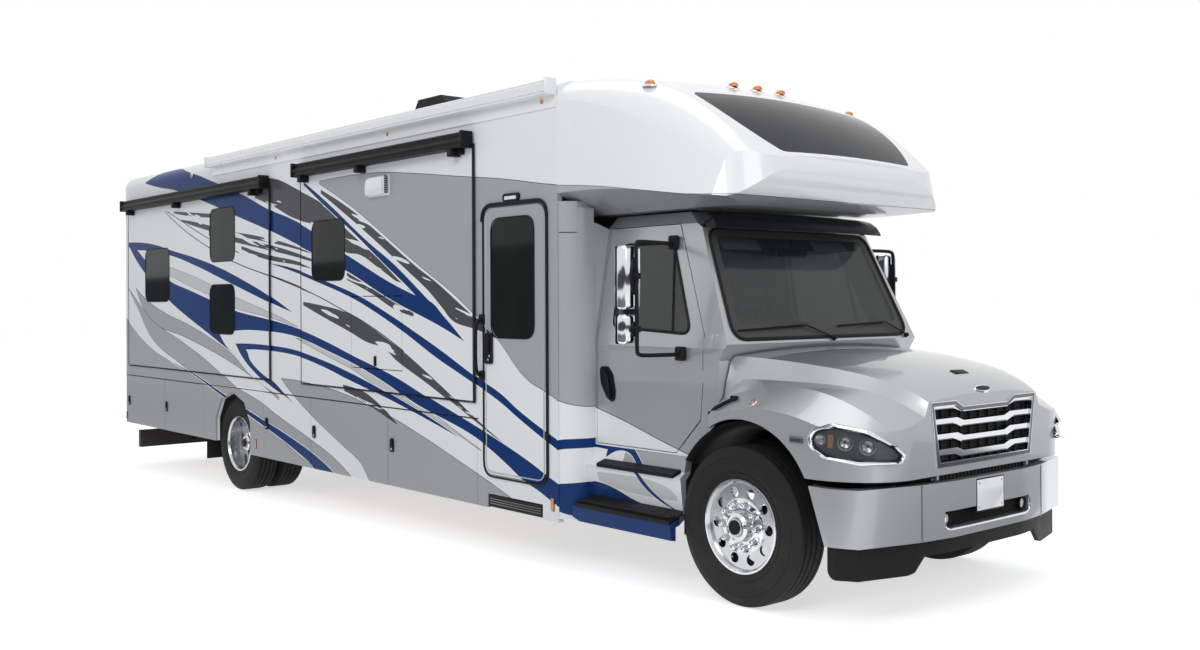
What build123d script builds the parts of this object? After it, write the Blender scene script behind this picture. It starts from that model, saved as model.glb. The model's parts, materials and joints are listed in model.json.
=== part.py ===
from build123d import *
from math import cos, hypot, radians, sin
import os

# A motorhome built on a conventional truck chassis: a hollow coach with two slide-outs
# and a bunk cap over a truck cab with a tilting hood. Everything is drawn level in the
# body's own frame: X forward from the front axle, Y to the left, Z up, in millimetres.
# Z is 0 on the ground under the front axle. Unladen, the body stands nose down by RAKE,
# and every piece is turned by it as it is written.

# ---------------------------------------------------------------- stance and wheels
RAKE = 0.93
FRONT_AXLE_X = 4790.5
WHEELBASE = 7336.0
TYRE_R = 505.0
TYRE_W = 275.0
TREAD_W = 216.0
BEAD_R = 286.0
FLANGE_R = 298.5
RIM_W = 234.0
RIM_WALL = 12.0
RIM_DISC_T = 20.0
FRONT_TRACK = 2076.0
DUAL_OUTER_TRACK = 2165.0
DUAL_SPACING = 313.0
KINGPIN_TRACK = 1760.0
KINGPIN_R = 30.0
SPINDLE_R = 40.0
RUNNING_GAP = 0.3
STUD_CIRCLE_R = 143.0
HAND_HOLE_R = 33.0
HAND_HOLE_CIRCLE_R = 218.0
HUB_R = 105.0
WHEEL_STUDS = 10

FRONT_AXLE_Z = TYRE_R / cos(radians(RAKE))
REAR_AXLE_Z = (TYRE_R - WHEELBASE * sin(radians(RAKE))) / cos(radians(RAKE))

# ---------------------------------------------------------------- coach
COACH_REAR = -10590.0
COACH_FRONT = -1660.0
SKIN = 1282.5
WALL = 50.0
SIDE_TOP = 3385.0
ROOF_EDGE_R = 160.0
ROOF_CROWN = 3575.0
ROOF_T = 60.0
FLOOR_TOP = 1050.0
FLOOR_T = 50.0
SKIRT_TOP = 1000.0
REAR_SKIRT_BOTTOM = 387.0
FRONT_SKIRT_BOTTOM = 316.0
SKIRT_STEP_X = -WHEELBASE
ARCH_FRONT = 466.0 - WHEELBASE
ARCH_REAR = -429.0 - WHEELBASE
BAY_BEHIND_WHEEL = -760.0 - WHEELBASE
BAY_AHEAD_OF_WHEEL = 799.0 - WHEELBASE
BAY_FRONT = -2679.0
ARCH_TOP = 952.0
DOOR_GAP = 8.0
BAY_FLOOR_Z = 430.0
BAY_FLOOR_T = 30.0
BAY_INNER_Y = 470.0
BULKHEAD_T = 30.0

# bay doors on each side: rear seam and front seam
BAYS_RIGHT = [(-10545.0, -9275.0), (-9275.0, BAY_BEHIND_WHEEL), (BAY_AHEAD_OF_WHEEL, -5495.0),
              (-5495.0, -4049.0), (-4049.0, BAY_FRONT)]
BAYS_LEFT = [(-10545.0, BAY_BEHIND_WHEEL), (BAY_AHEAD_OF_WHEEL, -4700.0), (-4700.0, BAY_FRONT)]

# slide-outs: rear end, front end, underside, top
SLIDE_REAR = (-10465.0, -6355.0, 1125.0, 3130.0)
SLIDE_FRONT = (-5668.0, -2698.0, 1125.0, 3180.0)
SLIDE_DEPTH = 760.0
SLIDE_WALL = 45.0
SLIDE_PROUD = 12.0
SLIDE_GAP = 12.0

# windows in the side: rear, front, bottom, top
WINDOWS_REAR_SLIDE = [(-9860.0, -9077.0, 1940.0, 2585.0), (-7866.0, -7206.0, 2379.0, 2965.0),
                      (-7875.0, -7214.0, 1580.0, 2123.0)]
WINDOWS_FRONT_SLIDE = [(-5433.0, -4787.0, 2130.0, 2701.0)]
WINDOWS_LEFT = [(-9900.0, -9000.0, 1940.0, 2585.0), (-7500.0, -6600.0, 1940.0, 2585.0),
                (-5433.0, -4300.0, 1940.0, 2701.0)]
WINDOW_R = 110.0
GLASS_T = 12.0
GLASS_GAP = 0.3
ACCESS = (-4676.0, -3784.0, 1325.0, 1981.0)

ENTRY_REAR = -2575.0
ENTRY_FRONT = -1790.0
ENTRY_BOTTOM = 572.0
ENTRY_TOP = 2660.0
ENTRY_R = 110.0
ENTRY_WINDOW = (-2475.0, -1927.0, 1646.0, 2569.0)
STEP_REAR = -2538.0
STEP_FRONT = -1840.0
STEP_BOTTOM = 325.0
STEP_TOP = 425.0
STEP_DEPTH = 480.0
STEP_CLEAR = 8.0

TOPPER_DEPTH = 100.0
TOPPER_H = 125.0
AWNING_REAR = -7794.0
AWNING_BOTTOM = 3430.0
AWNING_TOP = 3545.0
AWNING_DEPTH = 105.0

# ---------------------------------------------------------------- cap over the cab
CAP_NOSE_X = -14.0
CAP_LIP_Z = 2600.0
CAP_SIDE_LIP_Z = 2712.0
CAP_SOFFIT_Z = 2560.0
CAP_SOFFIT_FRONT = -420.0
CAP_WALL = 50.0
CAP_CORNER_X = -300.0
CAP_LEAN = 10.0
PANEL_T = 12.0
CAP_PANEL_BOTTOM = (6.0, 2873.0)
CAP_PANEL_TOP = (-661.0, 3388.0)

# ---------------------------------------------------------------- cab
CAB_REAR = -1530.0
CAB_HALF = 1045.0
CAB_LEAN_IN = 150.0
CAB_ROOF_HALF = CAB_HALF - CAB_LEAN_IN
CAB_SIDE_OUT = CAB_HALF + 55.0
CAB_SIDE_IN = CAB_HALF - 295.0
CAB_ROOF_Z = 2546.0
CAB_BELT_Z = 1610.0
CAB_FLOOR_Z = 1000.0
CAB_SILL_Z = 880.0
CAB_WALL = 55.0
SCREEN_BOTTOM = (-205.0, 1640.0)
SCREEN_TOP = (-560.0, 2425.0)
SCREEN_HALF_BOTTOM = CAB_HALF - 85.0
SCREEN_HALF_TOP = CAB_ROOF_HALF - 40.0
COWL_X = -272.0
COWL_Z = 1532.0
CAB_DOOR_REAR = -1500.0
CAB_DOOR_FRONT = -417.0
CAB_DOOR_TOP = 2460.0
CAB_DOOR_GAP = 6.0
CAB_TUNNEL_HALF = 560.0

# ---------------------------------------------------------------- hood and front
HOOD_REAR = -262.0
HOOD_FRONT = 1020.0
HOOD_HALF = 1185.0
HOOD_WALL = 30.0
LENS_T = 24.0
HOOD_BOTTOM = 872.0
HOOD_CORNER_R = 420.0
HOOD_HINGE_X = 1000.0
HOOD_HINGE_Z = 850.0
HOOD_HINGE_Y = 535.0
HINGE_PIN_R = 8.0
HINGE_EYE_R = 14.0
ARCH_X = 30.0
ARCH_Z = 595.0
ARCH_R = 588.0
GRILLE_BOTTOM = 915.0
GRILLE_TOP = 1315.0
GRILLE_HALF_BOTTOM = 530.0
GRILLE_HALF_TOP = 592.0
BUMPER_FRONT = 1055.0
BUMPER_HALF = 1195.0
BUMPER_BOTTOM = 494.0
BUMPER_TOP = 832.0
BUMPER_T = 60.0
DAM_BOTTOM = 300.0

# ---------------------------------------------------------------- chassis
RAIL_Y = 390.0
RAIL_W = 80.0
RAIL_BOTTOM = 700.0
RAIL_TOP = 960.0
RAIL_REAR = -10400.0
RAIL_FRONT = 930.0


def block(x, y, z, mode=Mode.ADD):
    """A box between two limits on each axis."""
    with Locations(((x[0] + x[1]) / 2, (y[0] + y[1]) / 2, (z[0] + z[1]) / 2)):
        return Box(x[1] - x[0], y[1] - y[0], z[1] - z[0], mode=mode)


def side_prism(outline, y_from, y_to, radius=0.0, shrink=0.0):
    """A solid with a side-view outline of (x, z) points, between two widths."""
    with BuildPart() as prism:
        with BuildSketch(Plane.XZ.offset(-y_from)) as face:
            with BuildLine():
                Polyline(*outline, close=True)
            make_face()
            if radius:
                fillet(face.vertices(), radius)
            if shrink:
                offset(amount=-shrink)
        extrude(amount=y_from - y_to)
    return prism.part


def plan_prism(outline, z_from, z_to):
    """A solid with a plan outline of (x, y) points, between two heights."""
    with BuildPart() as prism:
        with BuildSketch(Plane.XY.offset(z_from)):
            with BuildLine():
                Polyline(*outline, close=True)
            make_face()
        extrude(amount=z_to - z_from)
    return prism.part


def section_prism(outline, x_from, x_to, radius=0.0):
    """A solid with a cross-section outline of (y, z) points, between two stations."""
    with BuildPart() as prism:
        with BuildSketch(Plane.YZ.offset(x_from)) as face:
            with BuildLine():
                Polyline(*outline, close=True)
            make_face()
            if radius:
                fillet(face.vertices(), radius)
        extrude(amount=x_to - x_from)
    return prism.part


def mirrored(half):
    """Both halves of an outline whose first coordinate is a distance from the centreline."""
    other = [(-y, z) for y, z in reversed(half) if y > 0]
    return half + other


def frame_outline(rear, front, bottom, top):
    """A rectangle in side view."""
    return [(rear, bottom), (front, bottom), (front, top), (rear, top)]


def keep(piece, name):
    """Label a finished piece, set it down at the body's stance and write it out."""
    placed = Pos(FRONT_AXLE_X, 0, 0) * Rot(0, RAKE, 0) * piece
    placed.label = name
    export_step(placed, f"parts/{name}.step")


os.makedirs("parts", exist_ok=True)


# ================================================================ wheels and axles
def tyre(y_centre):
    """A tubeless road tyre about the Y axis, its crown, shoulders and sidewalls rounded."""
    half = TYRE_W / 2
    tread = TREAD_W / 2
    bead = RIM_W / 2 - 2 * RIM_WALL
    with BuildPart() as built:
        with BuildSketch(Plane.YZ):
            with BuildLine():
                Line((-bead, BEAD_R), (bead, BEAD_R))
                Line((bead, BEAD_R), (bead, FLANGE_R))
                ThreePointArc((bead, FLANGE_R), (half, (TYRE_R + FLANGE_R) / 2), (tread + 12, TYRE_R - 22))
                ThreePointArc((tread + 12, TYRE_R - 22), (tread + 7, TYRE_R - 9), (tread - 8, TYRE_R - 3))
                ThreePointArc((tread - 8, TYRE_R - 3), (0, TYRE_R), (8 - tread, TYRE_R - 3))
                ThreePointArc((8 - tread, TYRE_R - 3), (-tread - 7, TYRE_R - 9), (-tread - 12, TYRE_R - 22))
                ThreePointArc((-tread - 12, TYRE_R - 22), (-half, (TYRE_R + FLANGE_R) / 2), (-bead, FLANGE_R))
                Line((-bead, FLANGE_R), (-bead, BEAD_R))
            make_face()
        revolve(axis=Axis.Y)
    return Pos(0, y_centre, 0) * built.part


def rim(disc_y, face_side, bore):
    """A rim barrel with its bored disc at disc_y, the wheel nuts facing face_side (+1 or -1)."""
    half = RIM_W / 2
    seat = BEAD_R - RUNNING_GAP
    with BuildPart() as built:
        with BuildSketch(Plane.YZ):
            with BuildLine():
                Polyline((-half, FLANGE_R - 14), (-half, FLANGE_R), (-half + 9, FLANGE_R),
                         (-half + 22, seat), (half - 22, seat), (half - 9, FLANGE_R),
                         (half, FLANGE_R), (half, FLANGE_R - 14), (half - 16, seat - RIM_WALL),
                         (16 - half, seat - RIM_WALL), close=True)
            make_face()
        revolve(axis=Axis.Y)
        with BuildSketch(Plane.XZ.offset(-disc_y)):
            Circle(seat - RIM_WALL + 2)
            Circle(bore, mode=Mode.SUBTRACT)
            with PolarLocations(HAND_HOLE_CIRCLE_R, WHEEL_STUDS):
                Circle(HAND_HOLE_R, mode=Mode.SUBTRACT)
        extrude(amount=RIM_DISC_T / 2, both=True)
        with BuildSketch(Plane.XZ.offset(-disc_y)):
            with PolarLocations(STUD_CIRCLE_R, WHEEL_STUDS):
                RegularPolygon(19, 6)
        extrude(amount=-face_side * 45, taper=8)
    return built.part


def hub(disc_y, face_side, height, inward):
    """The hub behind a disc, bored for its spindle, and the stepped cap in front of it."""
    with BuildPart() as built:
        with BuildSketch(Plane.XZ.offset(-disc_y)):
            Circle(HUB_R)
        extrude(amount=-face_side * height, taper=14)
        with BuildSketch(Plane.XZ.offset(-disc_y - face_side * height)):
            Circle(HUB_R * 0.55)
        extrude(amount=-face_side * 22)
        if inward:
            with BuildSketch(Plane.XZ.offset(-disc_y)):
                Circle(HUB_R * 0.85)
                Circle(SPINDLE_R + RUNNING_GAP, mode=Mode.SUBTRACT)
            extrude(amount=face_side * inward)
    return built.part


FRONT_DISC_Y = 78.0
FRONT_HUB_INWARD = 110.0
REAR_DISC_Y = 88.0

front_wheel_y = FRONT_TRACK / 2
with BuildPart() as front_rim:
    add(rim(FRONT_DISC_Y, 1, HUB_R - 30))
    add(hub(FRONT_DISC_Y, 1, 62, FRONT_HUB_INWARD))
front_rim_left = Pos(0, front_wheel_y, FRONT_AXLE_Z) * front_rim.part
front_tyre_left = Pos(0, 0, FRONT_AXLE_Z) * tyre(front_wheel_y)
keep(front_rim_left, "front_rim_left")
keep(mirror(front_rim_left, about=Plane.XZ), "front_rim_right")
keep(front_tyre_left, "front_tyre_left")
keep(mirror(front_tyre_left, about=Plane.XZ), "front_tyre_right")

outer_y = DUAL_OUTER_TRACK / 2
inner_y = outer_y - DUAL_SPACING
with BuildPart() as rear_rims:
    add(Pos(0, outer_y, 0) * rim(-REAR_DISC_Y, 1, HUB_R - 30))
    add(Pos(0, outer_y, 0) * hub(-REAR_DISC_Y, 1, 120, 0))
    add(Pos(0, inner_y, 0) * rim(REAR_DISC_Y, -1, SPINDLE_R + RUNNING_GAP))
    with BuildSketch(Plane.XZ.offset(-(outer_y - REAR_DISC_Y))):
        Circle(STUD_CIRCLE_R + 25)
        Circle(SPINDLE_R + RUNNING_GAP, mode=Mode.SUBTRACT)
    extrude(amount=DUAL_SPACING - 2 * REAR_DISC_Y)
rear_rims_left = Pos(-WHEELBASE, 0, REAR_AXLE_Z) * rear_rims.part
with BuildPart() as rear_tyres:
    add(tyre(outer_y))
    add(tyre(inner_y))
rear_tyres_left = Pos(-WHEELBASE, 0, REAR_AXLE_Z) * rear_tyres.part
keep(rear_rims_left, "rear_rims_left")
keep(mirror(rear_rims_left, about=Plane.XZ), "rear_rims_right")
keep(rear_tyres_left, "rear_tyres_left")
keep(mirror(rear_tyres_left, about=Plane.XZ), "rear_tyres_right")

EYE_HALF = 55.0
YOKE_T = 40.0
KNUCKLE_FACE = 60.0
kingpin_y = KINGPIN_TRACK / 2
with BuildPart() as front_axle:
    block((-35, 35), (-kingpin_y + 45, kingpin_y - 45), (FRONT_AXLE_Z - 45, FRONT_AXLE_Z + 45))
    for side in (-1, 1):
        with BuildSketch(Plane.XY.offset(FRONT_AXLE_Z - EYE_HALF + RUNNING_GAP)):
            with Locations((0, side * kingpin_y)):
                Circle(KINGPIN_R + 22)
        extrude(amount=2 * (EYE_HALF - RUNNING_GAP))
        with Locations((0, side * kingpin_y, FRONT_AXLE_Z)):
            Cylinder(KINGPIN_R + RUNNING_GAP, 4 * EYE_HALF, mode=Mode.SUBTRACT)
        block((-60, 60), (side * 480 - 40, side * 480 + 40), (FRONT_AXLE_Z + 45, FRONT_AXLE_Z + 75))
keep(front_axle.part, "front_axle")

spindle_end = front_wheel_y + FRONT_DISC_Y - 10 - RUNNING_GAP
with BuildPart() as knuckle_left:
    with Locations((0, kingpin_y, FRONT_AXLE_Z)):
        Cylinder(KINGPIN_R, 2 * (EYE_HALF + YOKE_T))
    for low in (FRONT_AXLE_Z + EYE_HALF, FRONT_AXLE_Z - EYE_HALF - YOKE_T):
        block((-45, 45), (kingpin_y - 45, kingpin_y + KNUCKLE_FACE + 30), (low, low + YOKE_T))
    block((-55, 55), (kingpin_y + KNUCKLE_FACE, kingpin_y + KNUCKLE_FACE + 30),
          (FRONT_AXLE_Z - EYE_HALF - YOKE_T, FRONT_AXLE_Z + EYE_HALF + YOKE_T))
    with BuildSketch(Plane.XZ.offset(-(kingpin_y + KNUCKLE_FACE))):
        with Locations((0, FRONT_AXLE_Z)):
            Circle(SPINDLE_R)
    extrude(amount=-(spindle_end - kingpin_y - KNUCKLE_FACE))
    block((-330, -40), (kingpin_y - 40, kingpin_y), (FRONT_AXLE_Z - 95, FRONT_AXLE_Z - 65))
keep(knuckle_left.part, "knuckle_left")
keep(mirror(knuckle_left.part, about=Plane.XZ), "knuckle_right")

with BuildPart() as rear_axle:
    axle_end = outer_y - REAR_DISC_Y - 10 - RUNNING_GAP
    with Locations(Pos(-WHEELBASE, 0, REAR_AXLE_Z) * Rot(90, 0, 0)):
        Cylinder(SPINDLE_R, 2 * axle_end)
        Cylinder(70, 2 * (inner_y + REAR_DISC_Y - 60))
    with Locations((-WHEELBASE, 0, REAR_AXLE_Z)):
        Sphere(210)
    for side in (-1, 1):
        block((-WHEELBASE - 70, -WHEELBASE + 70), (side * 390 - 40, side * 390 + 40),
              (REAR_AXLE_Z + 50, REAR_AXLE_Z + 120))
keep(rear_axle.part, "rear_axle")

# ================================================================ chassis frame and engine
# crossmembers: station, underside
CROSSMEMBERS = [(-10350.0, 760.0), (-9000.0, 760.0), (-8000.0, 760.0), (-6600.0, 760.0), (-5200.0, 760.0),
                (-3800.0, 760.0), (-2400.0, 760.0), (-1600.0, 760.0), (160.0, 620.0), (840.0, 760.0)]
CROSSMEMBER_W = 70.0
CROSSMEMBER_H = 100.0
ENGINE_BOTTOM = 720.0
RECEIVER_Z = 330.0
RECEIVER_OUT = 90.0
RECEIVER_IN = 64.0
RECEIVER_REAR = -10655.0
RECEIVER_PIN_X = -10605.0
RECEIVER_PIN_R = 8.15
GUARD_BOTTOM = 55.0
GUARD_TOP = 275.0
with BuildPart() as chassis_frame:
    for side in (-1, 1):
        web = side * (RAIL_Y + RAIL_W / 2)
        inner = side * (RAIL_Y - RAIL_W / 2)
        channel = [(web, RAIL_BOTTOM), (web, RAIL_TOP), (inner, RAIL_TOP), (inner, RAIL_TOP - 10),
                   (web - side * 10, RAIL_TOP - 10), (web - side * 10, RAIL_BOTTOM + 10),
                   (inner, RAIL_BOTTOM + 10), (inner, RAIL_BOTTOM)]
        add(section_prism(channel, RAIL_REAR, RAIL_FRONT))
    for x, low in CROSSMEMBERS:
        block((x - CROSSMEMBER_W / 2, x + CROSSMEMBER_W / 2), (-RAIL_Y - 30, RAIL_Y + 30), (low, low + CROSSMEMBER_H))
    # guard bar under the tail, with its drop brackets
    block((-10560, -10490), (-1140, 1140), (GUARD_BOTTOM, GUARD_TOP))
    for side in (-1, 1):
        block((-10490, -10390), (side * RAIL_Y - 40, side * RAIL_Y + 40), (GUARD_BOTTOM + 40, RAIL_TOP))
    # hitch receiver on its cross tube, bored across for the hitch pin
    block((-10470, -10400), (-RAIL_Y, RAIL_Y), (RECEIVER_Z - 40, RECEIVER_Z + 40))
    half = RECEIVER_OUT / 2
    block((RECEIVER_REAR, -10400), (-half, half), (RECEIVER_Z - half, RECEIVER_Z + half))
    half = RECEIVER_IN / 2
    block((RECEIVER_REAR - 1, -10420), (-half, half), (RECEIVER_Z - half, RECEIVER_Z + half), mode=Mode.SUBTRACT)
    with Locations(Pos(RECEIVER_PIN_X, 0, RECEIVER_Z) * Rot(90, 0, 0)):
        Cylinder(RECEIVER_PIN_R, 2 * RECEIVER_OUT, mode=Mode.SUBTRACT)
    # hinge brackets for the tilting hood, bored for its pins
    for side in (-1, 1):
        eye = HOOD_HINGE_Y
        block((880, 960), sorted((side * RAIL_Y, side * (eye + 10))), (840, 860))
        block((940, HOOD_HINGE_X), sorted((side * (eye - 10), side * (eye + 10))), (838, 862))
        with Locations(Pos(HOOD_HINGE_X, side * eye, HOOD_HINGE_Z) * Rot(90, 0, 0)):
            Cylinder(HINGE_EYE_R - 1, 20)
            Cylinder(HINGE_PIN_R + RUNNING_GAP, 60, mode=Mode.SUBTRACT)
    # front and rear leaf springs on their hangers
    for x, z in ((0.0, FRONT_AXLE_Z + 75), (-WHEELBASE, REAR_AXLE_Z + 120)):
        for side in (-1, 1):
            y = side * (480 if x == 0.0 else 390)
            spring = [(x - 700, z + 130), (x - 350, z + 32), (x, z), (x + 350, z + 32), (x + 700, z + 130),
                      (x + 700, z + 160), (x + 350, z + 72), (x, z + 60), (x - 350, z + 72), (x - 700, z + 160)]
            add(side_prism(spring, y - 38, y + 38))
            for end in (-700, 700):
                block((x + end - 30, x + end + 30), (y - 38, y + 38), (z + 125, RAIL_TOP - 40))
                if x == 0.0:
                    block((end - 30, end + 30), sorted((y, side * RAIL_Y)), (RAIL_BOTTOM + 100, RAIL_BOTTOM + 160))
keep(chassis_frame.part, "chassis_frame")

with BuildPart() as engine:
    block((-240, 560), (-330, 330), (ENGINE_BOTTOM, 1380))
    block((-1500, -240), (-190, 190), (520, 750))
    radiator_front = 840 - CROSSMEMBER_W / 2 - RUNNING_GAP
    block((radiator_front - 90, radiator_front), (-RAIL_Y + 60, RAIL_Y - 60), (ENGINE_BOTTOM, 1330))
    block((560, radiator_front - 90), (-60, 60), (940, 1060))
keep(engine.part, "engine")


# ================================================================ coach
def roof_section(inset):
    """Half-round roof edges and a low crown, as (y, z) corners and arc points."""
    half = SKIN - inset
    top = SIDE_TOP + ROOF_EDGE_R - inset
    with BuildSketch(Plane.YZ) as face:
        with BuildLine():
            Line((-half, SIDE_TOP), (half, SIDE_TOP))
            ThreePointArc((half, SIDE_TOP), (half - 0.29 * ROOF_EDGE_R, SIDE_TOP + 0.71 * (ROOF_EDGE_R - inset)),
                          (SKIN - ROOF_EDGE_R, top))
            ThreePointArc((SKIN - ROOF_EDGE_R, top), (0, ROOF_CROWN - inset), (ROOF_EDGE_R - SKIN, top))
            ThreePointArc((ROOF_EDGE_R - SKIN, top), (0.29 * ROOF_EDGE_R - half, SIDE_TOP + 0.71 * (ROOF_EDGE_R - inset)),
                          (-half, SIDE_TOP))
        make_face()
    return face.sketch


def roof_form(inset, rear, front):
    with BuildPart() as form:
        add(Pos(rear, 0, 0) * roof_section(inset))
        extrude(amount=front - rear, dir=(1, 0, 0))
    return form.part


with BuildPart() as coach_roof:
    add(roof_form(0.0, COACH_REAR, COACH_FRONT))
    add(roof_form(ROOF_T, COACH_REAR + ROOF_T, COACH_FRONT), mode=Mode.SUBTRACT)
keep(coach_roof.part, "coach_roof")

with BuildPart() as roof_units:
    add(side_prism([(-4395, 3500), (-3863, 3500), (-3863, 3700), (-3950, 3790), (-4330, 3790), (-4395, 3700)],
                   -780, -420))
    for x in (-8000, -2700):
        block((x - 200, x + 200), (-200, 200), (ROOF_CROWN - 40, ROOF_CROWN + 60))
    add(roof_form(0.0, COACH_REAR, COACH_FRONT), mode=Mode.SUBTRACT)
keep(roof_units.part, "roof_units")


def bay_door(rear, front, bottom):
    with BuildPart() as door:
        block((rear + DOOR_GAP / 2, front - DOOR_GAP / 2), (-SKIN, -SKIN + WALL), (bottom, SKIRT_TOP - DOOR_GAP))
        with BuildSketch(Plane.XZ.offset(SKIN)):
            with Locations((rear + 80, 675)):
                SlotOverall(115, 62, rotation=90)
        extrude(amount=7)
    return door.part


def skirt_bottom(x):
    return REAR_SKIRT_BOTTOM if x < SKIRT_STEP_X else FRONT_SKIRT_BOTTOM


for number, (rear, front) in enumerate(BAYS_RIGHT, 1):
    keep(bay_door(rear, front, skirt_bottom(front)), f"bay_door_right_{number}")
for number, (rear, front) in enumerate(BAYS_LEFT, 1):
    keep(mirror(bay_door(rear, front, skirt_bottom(front)), about=Plane.XZ), f"bay_door_left_{number}")


def wall_blank(bays):
    """A side wall and its skirt on the right, open where the bay doors and the wheel go."""
    with BuildPart() as wall:
        block((COACH_REAR, COACH_FRONT), (-SKIN, -SKIN + WALL), (FRONT_SKIRT_BOTTOM, SIDE_TOP))
        block((COACH_REAR - 1, SKIRT_STEP_X), (-SKIN - 1, -SKIN + WALL + 1),
              (FRONT_SKIRT_BOTTOM - 1, REAR_SKIRT_BOTTOM), mode=Mode.SUBTRACT)
        for rear, front in bays:
            block((rear, front), (-SKIN - 1, -SKIN + WALL + 1), (FRONT_SKIRT_BOTTOM - 1, SKIRT_TOP), mode=Mode.SUBTRACT)
        with BuildSketch(Plane.XZ.offset(SKIN + 1)):
            with BuildLine():
                Polyline((ARCH_REAR, FRONT_SKIRT_BOTTOM - 60), (ARCH_REAR, 640), (ARCH_REAR + 150, 860),
                         ((ARCH_REAR + ARCH_FRONT) / 2, ARCH_TOP), (ARCH_FRONT - 150, 860), (ARCH_FRONT, 640),
                         (ARCH_FRONT, FRONT_SKIRT_BOTTOM - 60), close=True)
            make_face()
        extrude(amount=-WALL - 2, mode=Mode.SUBTRACT)
    return wall.part


with BuildPart() as side_wall_right:
    add(wall_blank(BAYS_RIGHT))
    for rear, front, bottom, top in (SLIDE_REAR, SLIDE_FRONT):
        block((rear, front), (-SKIN - 1, -SKIN + WALL + 1), (bottom, top), mode=Mode.SUBTRACT)
    add(side_prism(frame_outline(ENTRY_REAR, ENTRY_FRONT, ENTRY_BOTTOM, ENTRY_TOP),
                   -SKIN - 1, -SKIN + WALL + 1, ENTRY_R), mode=Mode.SUBTRACT)
    block((STEP_REAR, STEP_FRONT), (-SKIN - 1, -SKIN + WALL + 1), (FRONT_SKIRT_BOTTOM - 1, STEP_TOP), mode=Mode.SUBTRACT)
keep(side_wall_right.part, "side_wall_right")

with BuildPart() as side_wall_left:
    add(mirror(wall_blank(BAYS_LEFT), about=Plane.XZ))
    for rear, front, bottom, top in WINDOWS_LEFT:
        add(side_prism(frame_outline(rear, front, bottom, top), SKIN + 1, SKIN - WALL - 1, WINDOW_R),
            mode=Mode.SUBTRACT)
keep(side_wall_left.part, "side_wall_left")


def panes(windows, y_from, y_to):
    with BuildPart() as glass:
        for rear, front, bottom, top in windows:
            add(side_prism(frame_outline(rear + GLASS_GAP, front - GLASS_GAP, bottom + GLASS_GAP, top - GLASS_GAP),
                           y_from, y_to, WINDOW_R - GLASS_GAP))
    return glass.part


keep(panes(WINDOWS_LEFT, SKIN, SKIN - GLASS_T), "side_glass_left")

with BuildPart() as rear_wall:
    block((COACH_REAR, COACH_REAR + WALL), (-SKIN + WALL, SKIN - WALL), (REAR_SKIRT_BOTTOM, SIDE_TOP))
    add(side_prism([(COACH_REAR - 70, 560), (COACH_REAR, 560), (COACH_REAR, 760), (COACH_REAR - 70, 740)],
                   -SKIN + 90, SKIN - 90))
keep(rear_wall.part, "rear_wall")

BAY_REAR = COACH_REAR + WALL
INSIDE = SKIN - WALL
SEAL = 0.3
STEP_PLATE_T = 20.0
RUNNER_W = 80.0
with BuildPart() as coach_floor:
    block((BAY_REAR, COACH_FRONT), (-INSIDE, INSIDE), (FLOOR_TOP - FLOOR_T, FLOOR_TOP))
    # stepwell inside the entry door
    block((ENTRY_REAR, ENTRY_FRONT), (-INSIDE - 1, -700), (FLOOR_TOP - FLOOR_T - 1, FLOOR_TOP + 1), mode=Mode.SUBTRACT)
    well = (-INSIDE + SEAL, -700)
    block((ENTRY_REAR, ENTRY_FRONT), well, (ENTRY_BOTTOM - 40, ENTRY_BOTTOM))
    block((ENTRY_REAR, ENTRY_FRONT), (-700, -670), (ENTRY_BOTTOM - 40, FLOOR_TOP))
    block((ENTRY_REAR - 10, ENTRY_REAR + 30), well, (ENTRY_BOTTOM - 40, FLOOR_TOP))
    block((ENTRY_FRONT - 30, ENTRY_FRONT + 10), well, (ENTRY_BOTTOM - 40, FLOOR_TOP))
    # slide plate that carries the entry step, hung from the stepwell
    plate_z = STEP_TOP - STEP_CLEAR + RUNNING_GAP
    block((STEP_REAR, STEP_FRONT), (-INSIDE, -760), (plate_z, plate_z + STEP_PLATE_T))
    for x in (STEP_REAR, STEP_FRONT - 30):
        block((x, x + 30), (-INSIDE + 60, -760), (plate_z, ENTRY_BOTTOM - 40))
    # basement compartments between the bay doors and the frame
    for side in (-1, 1):
        inner_wall = sorted((side * BAY_INNER_Y, side * (BAY_INNER_Y - BAY_FLOOR_T)))
        span = sorted((side * BAY_INNER_Y, side * (INSIDE - SEAL)))
        for rear, front in ((BAY_REAR, BAY_BEHIND_WHEEL), (BAY_AHEAD_OF_WHEEL, BAY_FRONT)):
            block((rear, front), span, (BAY_FLOOR_Z - BAY_FLOOR_T, BAY_FLOOR_Z))
            block((rear, front), inner_wall, (BAY_FLOOR_Z - BAY_FLOOR_T, FLOOR_TOP - FLOOR_T))
        bays = BAYS_RIGHT if side < 0 else BAYS_LEFT
        for x in sorted({BAY_REAR + BULKHEAD_T / 2} | {seam for bay in bays for seam in bay if seam > BAY_REAR}):
            block((x - BULKHEAD_T / 2, x + BULKHEAD_T / 2), span, (BAY_FLOOR_Z - BAY_FLOOR_T, FLOOR_TOP - FLOOR_T))
    # sleepers on the frame rails
    for x in (-9000.0, -6600.0, -3800.0):
        block((x - 40, x + 40), (-RAIL_Y - 40, RAIL_Y + 40), (RAIL_TOP, FLOOR_TOP - FLOOR_T))
    # runners under the slide-outs
    for rear, front, bottom, top in (SLIDE_REAR, SLIDE_FRONT):
        for x in (rear + 300, front - 300 - RUNNER_W):
            block((x, x + RUNNER_W), (-INSIDE, -560), (FLOOR_TOP, bottom + SLIDE_GAP - RUNNING_GAP))
keep(coach_floor.part, "coach_floor")


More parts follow.
